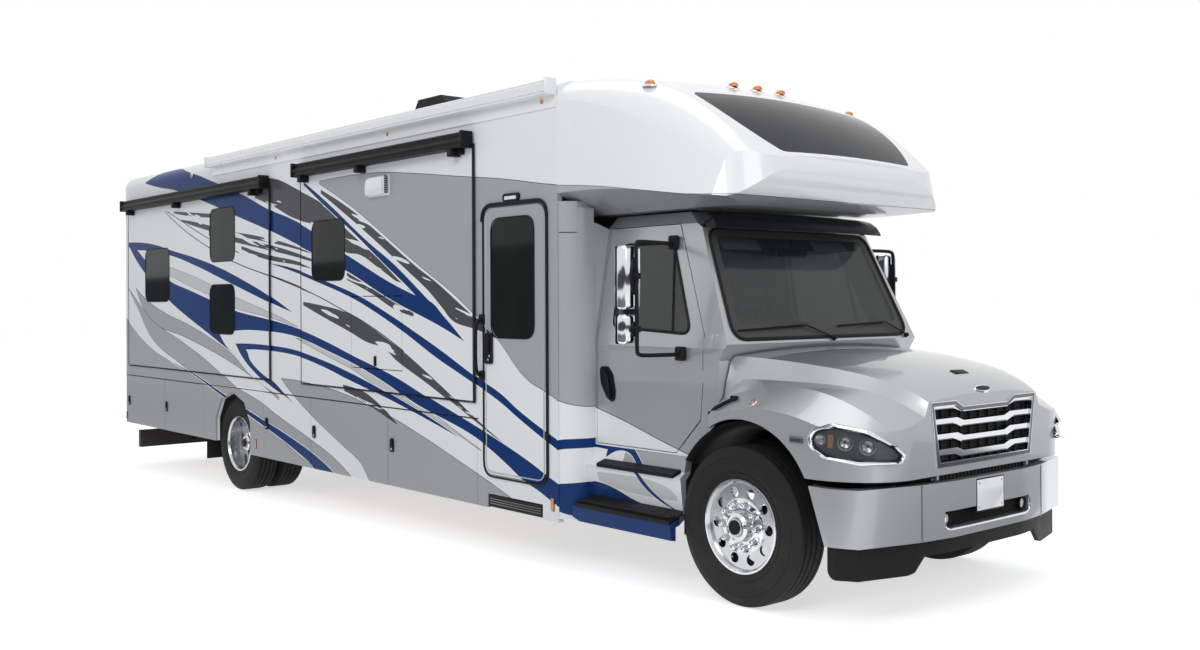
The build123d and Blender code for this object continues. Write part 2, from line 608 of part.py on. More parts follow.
# ================================================================ slide-outs
def slide_box(limits, windows, hatches=()):
    rear, front, bottom, top = limits
    rear += SLIDE_GAP
    front -= SLIDE_GAP
    bottom += SLIDE_GAP
    top -= SLIDE_GAP
    outer = -SKIN - SLIDE_PROUD
    with BuildPart() as box:
        block((rear, front), (outer, outer + SLIDE_DEPTH), (bottom, top))
        block((rear + SLIDE_WALL, front - SLIDE_WALL), (outer + SLIDE_WALL, outer + SLIDE_DEPTH + 1),
              (bottom + SLIDE_WALL, top - SLIDE_WALL), mode=Mode.SUBTRACT)
        for window in windows:
            add(side_prism(frame_outline(*window), outer - 1, outer + SLIDE_WALL + 1, WINDOW_R), mode=Mode.SUBTRACT)
        for hatch in hatches:
            add(side_prism(frame_outline(*hatch), outer - 1, outer + SLIDE_WALL + 1), mode=Mode.SUBTRACT)
            for x in (hatch[0] + 150, hatch[1] - 210):
                block((x, x + 60), (outer + 2, outer + 20), (hatch[3] - DOOR_GAP + RUNNING_GAP, hatch[3] + 1))
    return box.part


def topper(limits):
    rear, front, bottom, top = limits
    outer = -SKIN - SLIDE_PROUD
    low = top - SLIDE_GAP - 20
    profile = [(outer, low), (outer - TOPPER_DEPTH, low), (outer - TOPPER_DEPTH, low + 60),
               (outer - TOPPER_DEPTH + 25, low + TOPPER_H), (outer - 25, low + TOPPER_H), (outer, low + TOPPER_H - 30)]
    length = front - rear
    with BuildPart() as built:
        add(section_prism(profile, rear + SLIDE_GAP + 10, front - SLIDE_GAP - 10))
        for share in (0.02, 0.4, 0.96):
            x = rear + SLIDE_GAP + 40 + share * (length - 120)
            block((x, x + 60), (outer - 50, outer), (low - 45, low))
    return built.part


keep(slide_box(SLIDE_REAR, WINDOWS_REAR_SLIDE), "slide_rear")
keep(slide_box(SLIDE_FRONT, WINDOWS_FRONT_SLIDE, [ACCESS]), "slide_front")
pane_y = -SKIN - SLIDE_PROUD
keep(panes(WINDOWS_REAR_SLIDE, pane_y, pane_y + GLASS_T), "slide_rear_glass")
keep(panes(WINDOWS_FRONT_SLIDE, pane_y, pane_y + GLASS_T), "slide_front_glass")
keep(topper(SLIDE_REAR), "topper_rear")
keep(topper(SLIDE_FRONT), "topper_front")

with BuildPart() as access_door:
    gap = DOOR_GAP
    block((ACCESS[0] + gap, ACCESS[1] - gap), (pane_y, pane_y + SLIDE_WALL), (ACCESS[2] + gap, ACCESS[3] - gap))
    with BuildSketch(Plane.XZ.offset(-pane_y)):
        with Locations(((ACCESS[0] + ACCESS[1]) / 2, ACCESS[2] + 75)):
            SlotOverall(80, 50, rotation=90)
    extrude(amount=7)
keep(access_door.part, "access_door")

with BuildPart() as awning_case:
    wall_y = -SKIN - GLASS_GAP
    out_y = -SKIN - AWNING_DEPTH
    case = [(wall_y, 3340), (wall_y, AWNING_TOP - 20), (wall_y - 25, AWNING_TOP), (out_y + 30, AWNING_TOP - 8),
            (out_y, AWNING_TOP - 45), (out_y + 5, AWNING_BOTTOM), (wall_y - 12, AWNING_BOTTOM), (wall_y - 12, 3340)]
    add(section_prism(case, AWNING_REAR, COACH_FRONT))
keep(awning_case.part, "awning_case")

# ================================================================ entry
with BuildPart() as entry_door:
    gap = DOOR_GAP
    add(side_prism(frame_outline(ENTRY_REAR + gap, ENTRY_FRONT - gap, ENTRY_BOTTOM + gap, ENTRY_TOP - gap),
                   -SKIN - 4, -SKIN + WALL, ENTRY_R - gap))
    add(side_prism(frame_outline(*ENTRY_WINDOW), -SKIN - 5, -SKIN + WALL + 1, WINDOW_R), mode=Mode.SUBTRACT)
    with BuildSketch(Plane.XZ.offset(SKIN + 4)):
        with Locations((ENTRY_REAR + 75, 1560)):
            SlotOverall(230, 80, rotation=90)
    extrude(amount=8)
keep(entry_door.part, "entry_door")
keep(panes([ENTRY_WINDOW], -SKIN - 4, -SKIN - 4 + GLASS_T), "entry_glass")

with BuildPart() as entry_step:
    width = (STEP_REAR + STEP_CLEAR, STEP_FRONT - STEP_CLEAR)
    block(width, (-SKIN + 4, -SKIN + STEP_DEPTH), (STEP_TOP - 55, STEP_TOP - STEP_CLEAR))
    block(width, (-SKIN + 4, -SKIN + 34), (STEP_BOTTOM, STEP_TOP - STEP_CLEAR))
keep(entry_step.part, "entry_step")


# ================================================================ cap over the cab
# station, underside half and z, lip half and z, flank top half and z, shoulder half and z, crown z
CAP_STATIONS = [
    (COACH_FRONT, 930.0, CAP_SOFFIT_Z, SKIN, CAP_SIDE_LIP_Z, SKIN, SIDE_TOP,
     SKIN - ROOF_EDGE_R, SIDE_TOP + ROOF_EDGE_R, ROOF_CROWN),
    (-1150.0, 930.0, CAP_SOFFIT_Z, SKIN - 4.0, 2706.0, SKIN - 16.0, 3285.0, SKIN - 200.0, 3492.0, 3552.0),
    (-661.0, 915.0, CAP_SOFFIT_Z, SKIN - 20.0, 2658.0, SKIN - 65.0, 3085.0, SKIN - 262.0, 3345.0, 3400.0),
    (-330.0, 890.0, CAP_SOFFIT_Z, SKIN - 55.0, 2615.0, SKIN - 115.0, 2905.0, SKIN - 290.0, 3140.0, 3196.0),
    (60.0, 820.0, CAP_SOFFIT_Z, SKIN - 125.0, CAP_LIP_Z, SKIN - 180.0, 2690.0, SKIN - 375.0, 2815.0, 2848.0),
]


def cap_section(row, i):
    """One station of the cap: underside, turned-in lip, flank, round shoulder and crown."""
    x, soffit_y, soffit_z, lip_y, lip_z, flank_y, flank_z, shoulder_y, shoulder_z, crown = row
    soffit, lip = (soffit_y - i, soffit_z + i), (lip_y - i, lip_z + 0.6 * i)
    flank, shoulder = (flank_y - i, flank_z), (shoulder_y - i / 2, shoulder_z - i)
    bulge = (0.62 * flank[0] + 0.38 * shoulder[0], 0.36 * flank[1] + 0.64 * shoulder[1])
    with BuildSketch(Plane.YZ.offset(x)) as face:
        with BuildLine():
            Line((-soffit[0], soffit[1]), soffit)
            for s in (-1, 1):
                Polyline((s * soffit[0], soffit[1]), (s * lip[0], lip[1]), (s * flank[0], flank[1]))
                ThreePointArc((s * flank[0], flank[1]), (s * bulge[0], bulge[1]), (s * shoulder[0], shoulder[1]))
            ThreePointArc((-shoulder[0], shoulder[1]), (0, crown - i), shoulder)
        make_face()
    return face.sketch


def cap_form(inset):
    """The cap's outer form drawn in by inset: lofted sections within its nose and its plan."""
    i = inset
    rear = COACH_FRONT - 1
    front = CAP_STATIONS[-1][0] + 1
    below, above = CAP_SOFFIT_Z - 5, ROOF_CROWN + 100
    with BuildPart() as form:
        for row in CAP_STATIONS:
            add(cap_section(row, i))
        loft()
        with BuildSketch(Plane.XZ):
            with BuildLine():
                Polyline((rear, above), (rear, below), (CAP_SOFFIT_FRONT, below + i))
                ThreePointArc((CAP_SOFFIT_FRONT, below + i), (-220, below + 10 + i), (CAP_NOSE_X - 61 - i / 2, CAP_LIP_Z + i))
                ThreePointArc((CAP_NOSE_X - 61 - i / 2, CAP_LIP_Z + i), (CAP_NOSE_X + 44 - i, 2740),
                              (CAP_PANEL_BOTTOM[0] + 8 - i, CAP_PANEL_BOTTOM[1]))
                Polyline((CAP_PANEL_BOTTOM[0] + 8 - i, CAP_PANEL_BOTTOM[1]), (front, above), (rear, above))
            make_face()
        extrude(amount=SKIN + 10, both=True, mode=Mode.INTERSECT)
        with BuildSketch(Plane.XY.offset(below - 1)):
            with BuildLine():
                for s in (-1, 1):
                    corner = (CAP_CORNER_X, s * (SKIN - 20 - i))
                    tip = (CAP_NOSE_X + 84 - i, s * (800 - 0.4 * i))
                    Polyline((rear - 400, 0), (rear - 400, s * (SKIN + 300)), (CAP_CORNER_X, s * (SKIN + 300)), corner)
                    ThreePointArc(corner, (-92 - 0.7 * i, s * (1148 - 0.7 * i)), tip)
                ThreePointArc((tip[0], -tip[1]), (CAP_NOSE_X + 110 - i, 0), tip)
            make_face()
        extrude(amount=ROOF_CROWN + 100 - below, taper=CAP_LEAN, mode=Mode.INTERSECT)
    return form.part


cap_outer = cap_form(0.0)
cap_inner = cap_form(CAP_WALL)
panel_slope = (CAP_PANEL_TOP[0] - CAP_PANEL_BOTTOM[0], CAP_PANEL_TOP[1] - CAP_PANEL_BOTTOM[1])
panel_length = hypot(*panel_slope)
panel_plane = Plane(origin=(CAP_PANEL_BOTTOM[0], 0, CAP_PANEL_BOTTOM[1]), x_dir=(0, 1, 0),
                    z_dir=(panel_slope[1], 0, -panel_slope[0]))


def cap_panel(gap, depth):
    """The window panel: a shield outline let into the cap's curved front to a depth."""
    low, high = 34 + gap, panel_length - 25 - gap
    with BuildPart() as slab:
        with BuildSketch(panel_plane.offset(-90)) as face:
            with BuildLine():
                Line((gap - 700, low), (700 - gap, low))
                ThreePointArc((700 - gap, low), (868 - gap, 0.45 * panel_length), (915 - gap, high))
                Line((915 - gap, high), (gap - 915, high))
                ThreePointArc((gap - 915, high), (gap - 868, 0.45 * panel_length), (gap - 700, low))
            make_face()
            fillet(face.vertices().group_by(Axis.Z)[0], 75)
        extrude(amount=320)
        add(cap_form(depth), mode=Mode.SUBTRACT)
    return slab.part


with BuildPart() as front_cap:
    add(cap_outer)
    add(cap_inner, mode=Mode.SUBTRACT)
    add(cap_panel(0.0, PANEL_T), mode=Mode.SUBTRACT)
keep(front_cap.part, "front_cap")

with BuildPart() as cap_window:
    add(cap_panel(GLASS_GAP, PANEL_T - GLASS_GAP))
    add(cap_outer, mode=Mode.INTERSECT)
keep(cap_window.part, "cap_window")


# ================================================================ cab
def cab_form(inset):
    """The cab's outer form drawn in by inset: its side profile and its leaning section."""
    i = inset
    side = [(CAB_REAR, CAB_SILL_Z + i), (CAB_REAR, CAB_ROOF_Z - i), (-760, CAB_ROOF_Z - i),
            (SCREEN_TOP[0] - i, SCREEN_TOP[1]), (SCREEN_BOTTOM[0] - i, SCREEN_BOTTOM[1]),
            (COWL_X - i, COWL_Z), (COWL_X - i, 1150), (-560 - i, CAB_SILL_Z + i)]
    half = [(0, CAB_ROOF_Z - i + 6), (CAB_ROOF_HALF - 90 - i, CAB_ROOF_Z - i), (CAB_ROOF_HALF - i, CAB_ROOF_Z - 90 - i),
            (CAB_HALF - i, CAB_BELT_Z), (CAB_HALF - i, CAB_SILL_Z + i), (0, CAB_SILL_Z + i)]
    with BuildPart() as form:
        add(side_prism(side, -CAB_SIDE_OUT, CAB_SIDE_OUT))
        with BuildSketch(Plane.YZ.offset(CAB_REAR - 1)):
            with BuildLine():
                Polyline(*mirrored(half), close=True)
            make_face()
        extrude(amount=1500, mode=Mode.INTERSECT)
    return form.part


def cab_door_outline(gap):
    g = gap
    return [(CAB_DOOR_REAR + g, CAB_SILL_Z + 12 + g), (-673 - g, CAB_SILL_Z + 12 + g), (-440 - g, 1130 + g),
            (CAB_DOOR_FRONT - g, 1385), (CAB_DOOR_FRONT - g, 1700), (-770 - g, CAB_DOOR_TOP - g),
            (CAB_DOOR_REAR + g, CAB_DOOR_TOP - g)]


CAB_WINDOW = [(-1340.0, 1740.0), (-545.0, 1700.0), (-815.0, 2330.0), (-1340.0, 2330.0)]
CAB_WINDOW_R = 45.0
PASSAGE_HALF = 800.0
PASSAGE_TOP = 2400.0
screen_rise = (SCREEN_TOP[0] - SCREEN_BOTTOM[0], SCREEN_TOP[1] - SCREEN_BOTTOM[1])
screen_length = hypot(*screen_rise)
screen_plane = Plane(origin=(SCREEN_BOTTOM[0], 0, SCREEN_BOTTOM[1]), x_dir=(0, 1, 0),
                     z_dir=(screen_rise[1], 0, -screen_rise[0]))


def screen_slab(gap, out, depth):
    """The windscreen's outline in its sloping plane, from out in front to depth behind."""
    with BuildPart() as slab:
        with BuildSketch(screen_plane.offset(out)) as face:
            with BuildLine():
                Polyline((gap - SCREEN_HALF_BOTTOM, 35 + gap), (SCREEN_HALF_BOTTOM - gap, 35 + gap),
                         (SCREEN_HALF_TOP - gap, screen_length - 20 - gap),
                         (gap - SCREEN_HALF_TOP, screen_length - 20 - gap), close=True)
            make_face()
            fillet(face.vertices(), 110 - gap)
        extrude(amount=-out - depth)
    return slab.part


cab_outer = cab_form(0.0)
cab_inner = cab_form(CAB_WALL)
with BuildPart() as cab_shell:
    add(cab_outer)
    add(cab_inner, mode=Mode.SUBTRACT)
    block((CAB_REAR - 1, CAB_REAR + 60), (CAB_WALL - CAB_HALF, CAB_HALF - CAB_WALL), (CAB_FLOOR_Z, CAB_BELT_Z), mode=Mode.SUBTRACT)
    block((CAB_REAR - 1, CAB_REAR + 60), (-PASSAGE_HALF, PASSAGE_HALF), (CAB_BELT_Z - 1, PASSAGE_TOP), mode=Mode.SUBTRACT)
    add(side_prism(cab_door_outline(0.0), -CAB_SIDE_OUT, -CAB_SIDE_IN), mode=Mode.SUBTRACT)
    add(side_prism(cab_door_outline(0.0), CAB_SIDE_IN, CAB_SIDE_OUT), mode=Mode.SUBTRACT)
    add(screen_slab(0.0, 5, 110), mode=Mode.SUBTRACT)
    block((CAB_REAR, -700), (-900, 900), (CAB_SILL_Z + CAB_WALL - 1, CAB_FLOOR_Z))
    block((CAB_REAR - 1, 0), (-CAB_TUNNEL_HALF, CAB_TUNNEL_HALF), (CAB_SILL_Z - 1, RAIL_TOP), mode=Mode.SUBTRACT)
    for side in (-1, 1):
        for z in (1420, 1640):
            block((CAB_DOOR_FRONT - CAB_DOOR_GAP + RUNNING_GAP, CAB_DOOR_FRONT + 1),
                  sorted((side * CAB_HALF, side * (CAB_HALF - 15))), (z - 40, z + 40))
keep(cab_shell.part, "cab_shell")

with BuildPart() as windscreen:
    add(screen_slab(GLASS_GAP, 0, GLASS_T))
keep(windscreen.part, "windscreen")


def cab_door(windowed):
    with BuildPart() as door:
        add(cab_outer)
        add(cab_inner, mode=Mode.SUBTRACT)
        add(side_prism(cab_door_outline(CAB_DOOR_GAP), -CAB_SIDE_OUT, -CAB_SIDE_IN), mode=Mode.INTERSECT)
        block((CAB_REAR, 0), (CAB_WALL - CAB_HALF, 0), (CAB_SILL_Z - 1, CAB_BELT_Z - 200), mode=Mode.SUBTRACT)
        if windowed:
            add(side_prism(CAB_WINDOW, -CAB_SIDE_OUT, -CAB_SIDE_IN, CAB_WINDOW_R), mode=Mode.SUBTRACT)
        else:
            add(side_prism(CAB_WINDOW, -CAB_SIDE_OUT, -CAB_SIDE_IN, CAB_WINDOW_R, GLASS_GAP), mode=Mode.INTERSECT)
    return door.part


cab_door_right = cab_door(True)
keep(cab_door_right, "cab_door_right")
keep(mirror(cab_door_right, about=Plane.XZ), "cab_door_left")
with BuildPart() as cab_glass:
    add(cab_door(False))
    add(cab_form(20.0), mode=Mode.SUBTRACT)
keep(cab_glass.part, "cab_glass_right")
keep(mirror(cab_glass.part, about=Plane.XZ), "cab_glass_left")

MIRROR_Y = CAB_HALF + 370.0
MIRROR_TUBE_R = 14.0
MIRROR_TOP_Y = CAB_HALF - 110.0
MIRROR_FOOT_Y = CAB_HALF + 0.5
with BuildPart() as mirror_right:
    with BuildLine() as tube_path:
        FilletPolyline((-800, -MIRROR_TOP_Y, 2320), (-700, -MIRROR_Y, 2320), (-680, -MIRROR_Y, 1565),
                       (-610, -MIRROR_FOOT_Y - 4.5, 1565), radius=70)
    with BuildSketch(Plane(origin=tube_path.line @ 0, z_dir=tube_path.line % 0)):
        Circle(MIRROR_TUBE_R)
    sweep()
    block((-820, -775), (-MIRROR_TOP_Y - 40, 10 - MIRROR_TOP_Y), (2285, 2355))
    block((-650, -560), (-MIRROR_FOOT_Y - 39.5, -MIRROR_FOOT_Y), (1535, 1605))
    block((-790, -690), (-MIRROR_Y - 85, 70 - MIRROR_Y), (1870, 2290))
    block((-790, -690), (-MIRROR_Y - 85, 60 - MIRROR_Y), (1650, 1840))
keep(mirror_right.part, "mirror_right")
keep(mirror(mirror_right.part, about=Plane.XZ), "mirror_left")

DASH_FRONT = COWL_X - CAB_WALL - RUNNING_GAP
DASH_HALF = CAB_HALF - 115.0
SEAT_Y = 520.0
WHEEL_RIM_R = 210.0
WHEEL_GRIP_R = 15.0
COLUMN_R = 28.0
COLUMN_FOOT = (-600.0, SEAT_Y - 40.0, 1400.0)
COLUMN_RUN = 150.0
COLUMN_DIR = (-0.82, 0.0, 0.57)
column_plane = Plane(origin=COLUMN_FOOT, z_dir=COLUMN_DIR)
with BuildPart() as dashboard:
    add(side_prism([(DASH_FRONT, 1180), (DASH_FRONT, 1500), (-420, 1560), (-560, 1500), (-600, 1400), (-560, 1180)],
                   -DASH_HALF, DASH_HALF))
    with BuildSketch(column_plane):
        Circle(COLUMN_R)
    extrude(amount=COLUMN_RUN)
    with Locations(column_plane.offset(COLUMN_RUN)):
        Torus(WHEEL_RIM_R, WHEEL_GRIP_R)
        Cylinder(50, 30)
        Box(2 * (WHEEL_RIM_R - WHEEL_GRIP_R / 2), 30, 14)
keep(dashboard.part, "dashboard")

SEAT_W = 520.0
SEAT_Z = 1240.0
SEAT_T = 110.0
SEAT_BACK_H = 790.0
with BuildPart() as seats:
    for y in (-SEAT_Y, SEAT_Y):
        block((-1360, -900), (y - SEAT_W / 2, y + SEAT_W / 2), (SEAT_Z, SEAT_Z + SEAT_T))
        block((-1480, -1350), (y - SEAT_W / 2 + 10, y + SEAT_W / 2 - 10), (SEAT_Z + 30, SEAT_Z + SEAT_BACK_H))
        block((-1300, -950), (y - 150, y + 150), (CAB_FLOOR_Z, SEAT_Z))
keep(seats.part, "seats")


# ================================================================ hood
# station, fender half, shoulder z, crease y, crease z, valley y, valley z, ridge y, ridge z, crown z
HOOD_STATIONS = [
    (-262.0, 1160.0, 1190.0, 1010.0, 1290.0, 985.0, 1400.0, 930.0, 1560.0, 1606.0),
    (0.0, 1183.0, 1240.0, 1015.0, 1362.0, 945.0, 1420.0, 870.0, 1550.0, 1598.0),
    (300.0, 1185.0, 1255.0, 1005.0, 1392.0, 890.0, 1415.0, 800.0, 1520.0, 1576.0),
    (620.0, 1185.0, 1195.0, 985.0, 1345.0, 800.0, 1390.0, 720.0, 1470.0, 1528.0),
    (860.0, 1185.0, 1110.0, 960.0, 1245.0, 715.0, 1320.0, 655.0, 1400.0, 1455.0),
    (1020.0, 1185.0, 1020.0, 930.0, 1140.0, 650.0, 1230.0, 610.0, 1315.0, 1350.0),
]


def hood_section(row, i):
    x, fender, shoulder, crease_y, crease_z, valley_y, valley_z, ridge_y, ridge_z, crown = row
    bottom = HOOD_BOTTOM if i == 0 else HOOD_BOTTOM - 40
    with BuildSketch(Plane.YZ.offset(x)) as face:
        with BuildLine():
            for s in (-1, 1):
                Line((0, bottom), (s * (fender - i), bottom))
                Line((s * (fender - i), bottom), (s * (fender - i), shoulder - i / 2))
                Line((s * (fender - i), shoulder - i / 2), (s * (crease_y - i / 2), crease_z - i))
                Line((s * (crease_y - i / 2), crease_z - i), (s * (valley_y - i), valley_z - i / 2))
                Line((s * (valley_y - i), valley_z - i / 2), (s * (ridge_y - i), ridge_z - i))
            ThreePointArc((i - ridge_y, ridge_z - i), (0, crown - i), (ridge_y - i, ridge_z - i))
        make_face()
    return face.sketch


def hood_form(inset):
    """The hood's outer form drawn in by inset: lofted sections within its rounded plan."""
    front = HOOD_FRONT - inset
    half = HOOD_HALF - inset
    with BuildPart() as form:
        for row in HOOD_STATIONS:
            add(hood_section(row, inset))
        loft()
        with BuildSketch(Plane.XY.offset(HOOD_BOTTOM - 60)) as plan:
            with Locations(((HOOD_REAR - 60 + front) / 2, 0)):
                Rectangle(front - HOOD_REAR + 60, 2 * half)
            fillet(plan.vertices().group_by(Axis.X)[-1], HOOD_CORNER_R - inset)
        extrude(amount=900, mode=Mode.INTERSECT)
    return form.part


def headlamp_outline(grow):
    g = grow
    return [(-262 - g, 1105), (-235 - g, 1160 + g), (-117, 1188 + g), (60, 1155 + g), (200 + g, 1085 + g),
            (268 + g, 1020), (240 + g, 992 - g), (20, 990 - g), (-170, 1015 - g), (-245 - g, 1060)]


LAMP_AIM = (0.57, -0.82)
lamp_plane = Plane(origin=(830, -1060, 0), x_dir=(-LAMP_AIM[1], LAMP_AIM[0], 0), z_dir=(LAMP_AIM[0], LAMP_AIM[1], 0))


def lamp_prism(grow):
    with BuildPart() as prism:
        with BuildSketch(lamp_plane.offset(400)):
            with BuildLine():
                Polyline(*headlamp_outline(grow), close=True)
            make_face()
        extrude(amount=-720)
    return prism.part


def grille_outline(grow):
    g = grow
    return [(-GRILLE_HALF_BOTTOM - g, GRILLE_BOTTOM - g), (GRILLE_HALF_BOTTOM + g, GRILLE_BOTTOM - g),
            (GRILLE_HALF_TOP + g, GRILLE_TOP + g), (330, GRILLE_TOP + g), (250, GRILLE_TOP - 40 + g),
            (-250, GRILLE_TOP - 40 + g), (-330, GRILLE_TOP + g), (-GRILLE_HALF_TOP - g, GRILLE_TOP + g)]


hood_outer = hood_form(0.0)
hood_inner = hood_form(HOOD_WALL)
lamp_right = lamp_prism(0.0)
lamp_left = mirror(lamp_right, about=Plane.XZ)
with BuildPart() as arches:
    for side in (-1, 1):
        with BuildSketch(Plane.XZ.offset(-side * 600)):
            with Locations((ARCH_X, ARCH_Z)):
                Circle(ARCH_R)
        extrude(amount=-side * 700)
arch_cut = arches.part

with BuildPart() as hood:
    add(hood_outer)
    add(hood_inner, mode=Mode.SUBTRACT)
    add(arch_cut, mode=Mode.SUBTRACT)
    add(section_prism(grille_outline(0.0), 900, 1100), mode=Mode.SUBTRACT)
    add(lamp_right, mode=Mode.SUBTRACT)
    add(lamp_left, mode=Mode.SUBTRACT)
    add(side_prism([(-300, 1535), (-262, 1535), (-205, 1605), (-205, 1700), (-300, 1700)], -1200, 1200),
        mode=Mode.SUBTRACT)
    for side in (-1, 1):
        lug = sorted((side * (HOOD_HINGE_Y - 35), side * (HOOD_HINGE_Y - 15)))
        block((HOOD_HINGE_X - HINGE_EYE_R, HOOD_HINGE_X + HINGE_EYE_R), lug, (HOOD_HINGE_Z, GRILLE_BOTTOM - 20))
        with Locations(Pos(HOOD_HINGE_X, side * (HOOD_HINGE_Y - 25), HOOD_HINGE_Z) * Rot(90, 0, 0)):
            Cylinder(HINGE_EYE_R, 20)
        with Locations(Pos(HOOD_HINGE_X, side * (HOOD_HINGE_Y - 5), HOOD_HINGE_Z) * Rot(90, 0, 0)):
            Cylinder(HINGE_PIN_R, 40)
keep(hood.part, "hood")

lens_right = lamp_prism(-GLASS_GAP)
with BuildPart() as lens_prisms:
    add(lens_right)
    add(mirror(lens_right, about=Plane.XZ))
with BuildPart() as headlamps:
    add(hood_outer)
    add(hood_form(LENS_T), mode=Mode.SUBTRACT)
    add(lens_prisms.part, mode=Mode.INTERSECT)
keep(headlamps.part, "headlamps")

BARS_Z = [1242.0, 1150.0, 1058.0, 966.0]
BAR_H = 36.0
BAR_STEP = 22.0
with BuildPart() as grille:
    add(section_prism(grille_outline(-0.3), HOOD_FRONT - 50, HOOD_FRONT + 6))
    add(section_prism(grille_outline(-32.0), HOOD_FRONT - 60, HOOD_FRONT + 20), mode=Mode.SUBTRACT)
    for z in BARS_Z:
        low, high = z + BAR_STEP, z + BAR_STEP + BAR_H
        bar = [(-575, low), (-330, low), (-260, z), (260, z), (330, low), (575, low),
               (575, high), (300, high), (230, z + BAR_H), (-230, z + BAR_H), (-300, high), (-575, high)]
        add(section_prism(bar, HOOD_FRONT - 40, HOOD_FRONT - 4))
    add(section_prism(grille_outline(-0.3), HOOD_FRONT - 60, HOOD_FRONT + 20), mode=Mode.INTERSECT)
keep(grille.part, "grille")


# ================================================================ bumper and steps
def bumper_plan(inset):
    front = BUMPER_FRONT - inset
    half = BUMPER_HALF - inset
    return [(575 - inset, -half), (760, -half), (900 - inset, -1130 + inset), (front - 40, -700), (front, -400),
            (front, 400), (front - 40, 700), (900 - inset, 1130 - inset), (760, half), (575 - inset, half)]


with BuildPart() as bumper:
    add(plan_prism(bumper_plan(0.0), BUMPER_BOTTOM, BUMPER_TOP))
    add(plan_prism([(x - (1 if x < 600 else 0), y) for x, y in bumper_plan(BUMPER_T)], BUMPER_BOTTOM - 1, BUMPER_TOP + 1),
        mode=Mode.SUBTRACT)
    block((400, 516), (-1300, 1300), (BUMPER_BOTTOM - 1, BUMPER_TOP + 1), mode=Mode.SUBTRACT)
    add(side_prism([(500, 400), (735, 400), (560, 900), (500, 900)], -1300, 1300), mode=Mode.SUBTRACT)
    block((900, 1100), (-478, 478), (548, 655), mode=Mode.SUBTRACT)
    for side in (-1, 1):
        block((RAIL_FRONT, BUMPER_FRONT - BUMPER_T), (side * RAIL_Y - 60, side * RAIL_Y + 60), (RAIL_BOTTOM, BUMPER_TOP - 10))
keep(bumper.part, "bumper")

with BuildPart() as air_dam:
    add(plan_prism(bumper_plan(30.0), DAM_BOTTOM, BUMPER_BOTTOM))
    add(plan_prism(bumper_plan(60.0), DAM_BOTTOM - 1, BUMPER_BOTTOM + 1), mode=Mode.SUBTRACT)
    block((400, 700), (-1300, 1300), (DAM_BOTTOM - 1, BUMPER_BOTTOM + 1), mode=Mode.SUBTRACT)
    add(section_prism([(-720, DAM_BOTTOM - 1), (-620, 400), (620, 400), (720, DAM_BOTTOM - 1)], 600, 1200), mode=Mode.SUBTRACT)
keep(air_dam.part, "air_dam")

STEP_UPPER_Z = 757.0
STEP_LOWER_Z = 477.0
FAIRING_FRONT = -535.0
FAIRING_BOTTOM = 345.0
CAB_SEAT_Y = CAB_HALF + RUNNING_GAP
QUARTER_RELIEF_Z = 2200.0
QUARTER_RELIEF = 12.0
with BuildPart() as wheel_sweep:
    for side in (-1, 1):
        with Locations((0, side * kingpin_y, 500)):
            Cylinder(602, 700)
with BuildPart() as cab_fairings:
    for side in (-1, 1):
        stair = [(960, CAB_SILL_Z - 2), (1040, CAB_SILL_Z - 2), (1075, STEP_UPPER_Z + 10), (1145, STEP_UPPER_Z - 13),
                 (1135, STEP_UPPER_Z - 35), (1090, STEP_LOWER_Z + 23), (1245, STEP_LOWER_Z - 25), (1235, FAIRING_BOTTOM),
                 (1190, FAIRING_BOTTOM - 8), (1190, STEP_LOWER_Z - 50), (1050, STEP_LOWER_Z - 10),
                 (1050, STEP_UPPER_Z - 40), (1000, STEP_UPPER_Z)]
        add(section_prism([(side * y, z) for y, z in stair], CAB_REAR - 20, FAIRING_FRONT))
        # the quarter-round panel that closes the coach's front corner against the cab
        with BuildSketch(Plane.XY.offset(FAIRING_BOTTOM)):
            with BuildLine():
                Line((COACH_FRONT + 0.3, side * SKIN), (COACH_FRONT + 0.3, side * (SKIN - WALL)))
                ThreePointArc((COACH_FRONT + 0.3, side * (SKIN - WALL)), (-1600, side * 1180), (CAB_REAR - 25, side * CAB_SEAT_Y))
                Line((CAB_REAR - 25, side * CAB_SEAT_Y), (CAB_REAR + 15, side * CAB_SEAT_Y))
                ThreePointArc((CAB_REAR + 15, side * CAB_SEAT_Y), (-1560, side * 1215), (COACH_FRONT + 0.3, side * SKIN))
            make_face()
        extrude(amount=CAP_SIDE_LIP_Z - FAIRING_BOTTOM - 60)
        # its upper front edge stands back from the swing of the door's leaning top
        block((CAB_REAR - QUARTER_RELIEF, CAB_REAR + 40), sorted((side * CAB_HALF, side * SKIN)), (QUARTER_RELIEF_Z, SIDE_TOP),
              mode=Mode.SUBTRACT)
    add(wheel_sweep.part, mode=Mode.SUBTRACT)
    add(cap_outer, mode=Mode.SUBTRACT)
keep(cab_fairings.part, "cab_fairings")

TREAD_T = 25.0
# treads: rear end, front end, inner edge, its height, outer edge, fall per mm outwards
TREADS = [(-1379.0, -600.0, 1077.0, STEP_UPPER_Z + 9.34, 1155.0, 23 / 70),
          (-1500.0, FAIRING_FRONT, 1095.0, STEP_LOWER_Z + 21.45, 1252.0, 48 / 155)]
with BuildPart() as step_treads:
    for side in (-1, 1):
        for rear, front, inner, z, outer, fall in TREADS:
            low = z + RUNNING_GAP
            outer_low = low - fall * (outer - inner)
            tread = [(inner, low), (outer, outer_low), (outer, outer_low + TREAD_T), (inner, low + TREAD_T)]
            add(section_prism([(side * y, z) for y, z in tread], rear, front))
    add(wheel_sweep.part, mode=Mode.SUBTRACT)
keep(step_treads.part, "step_treads")
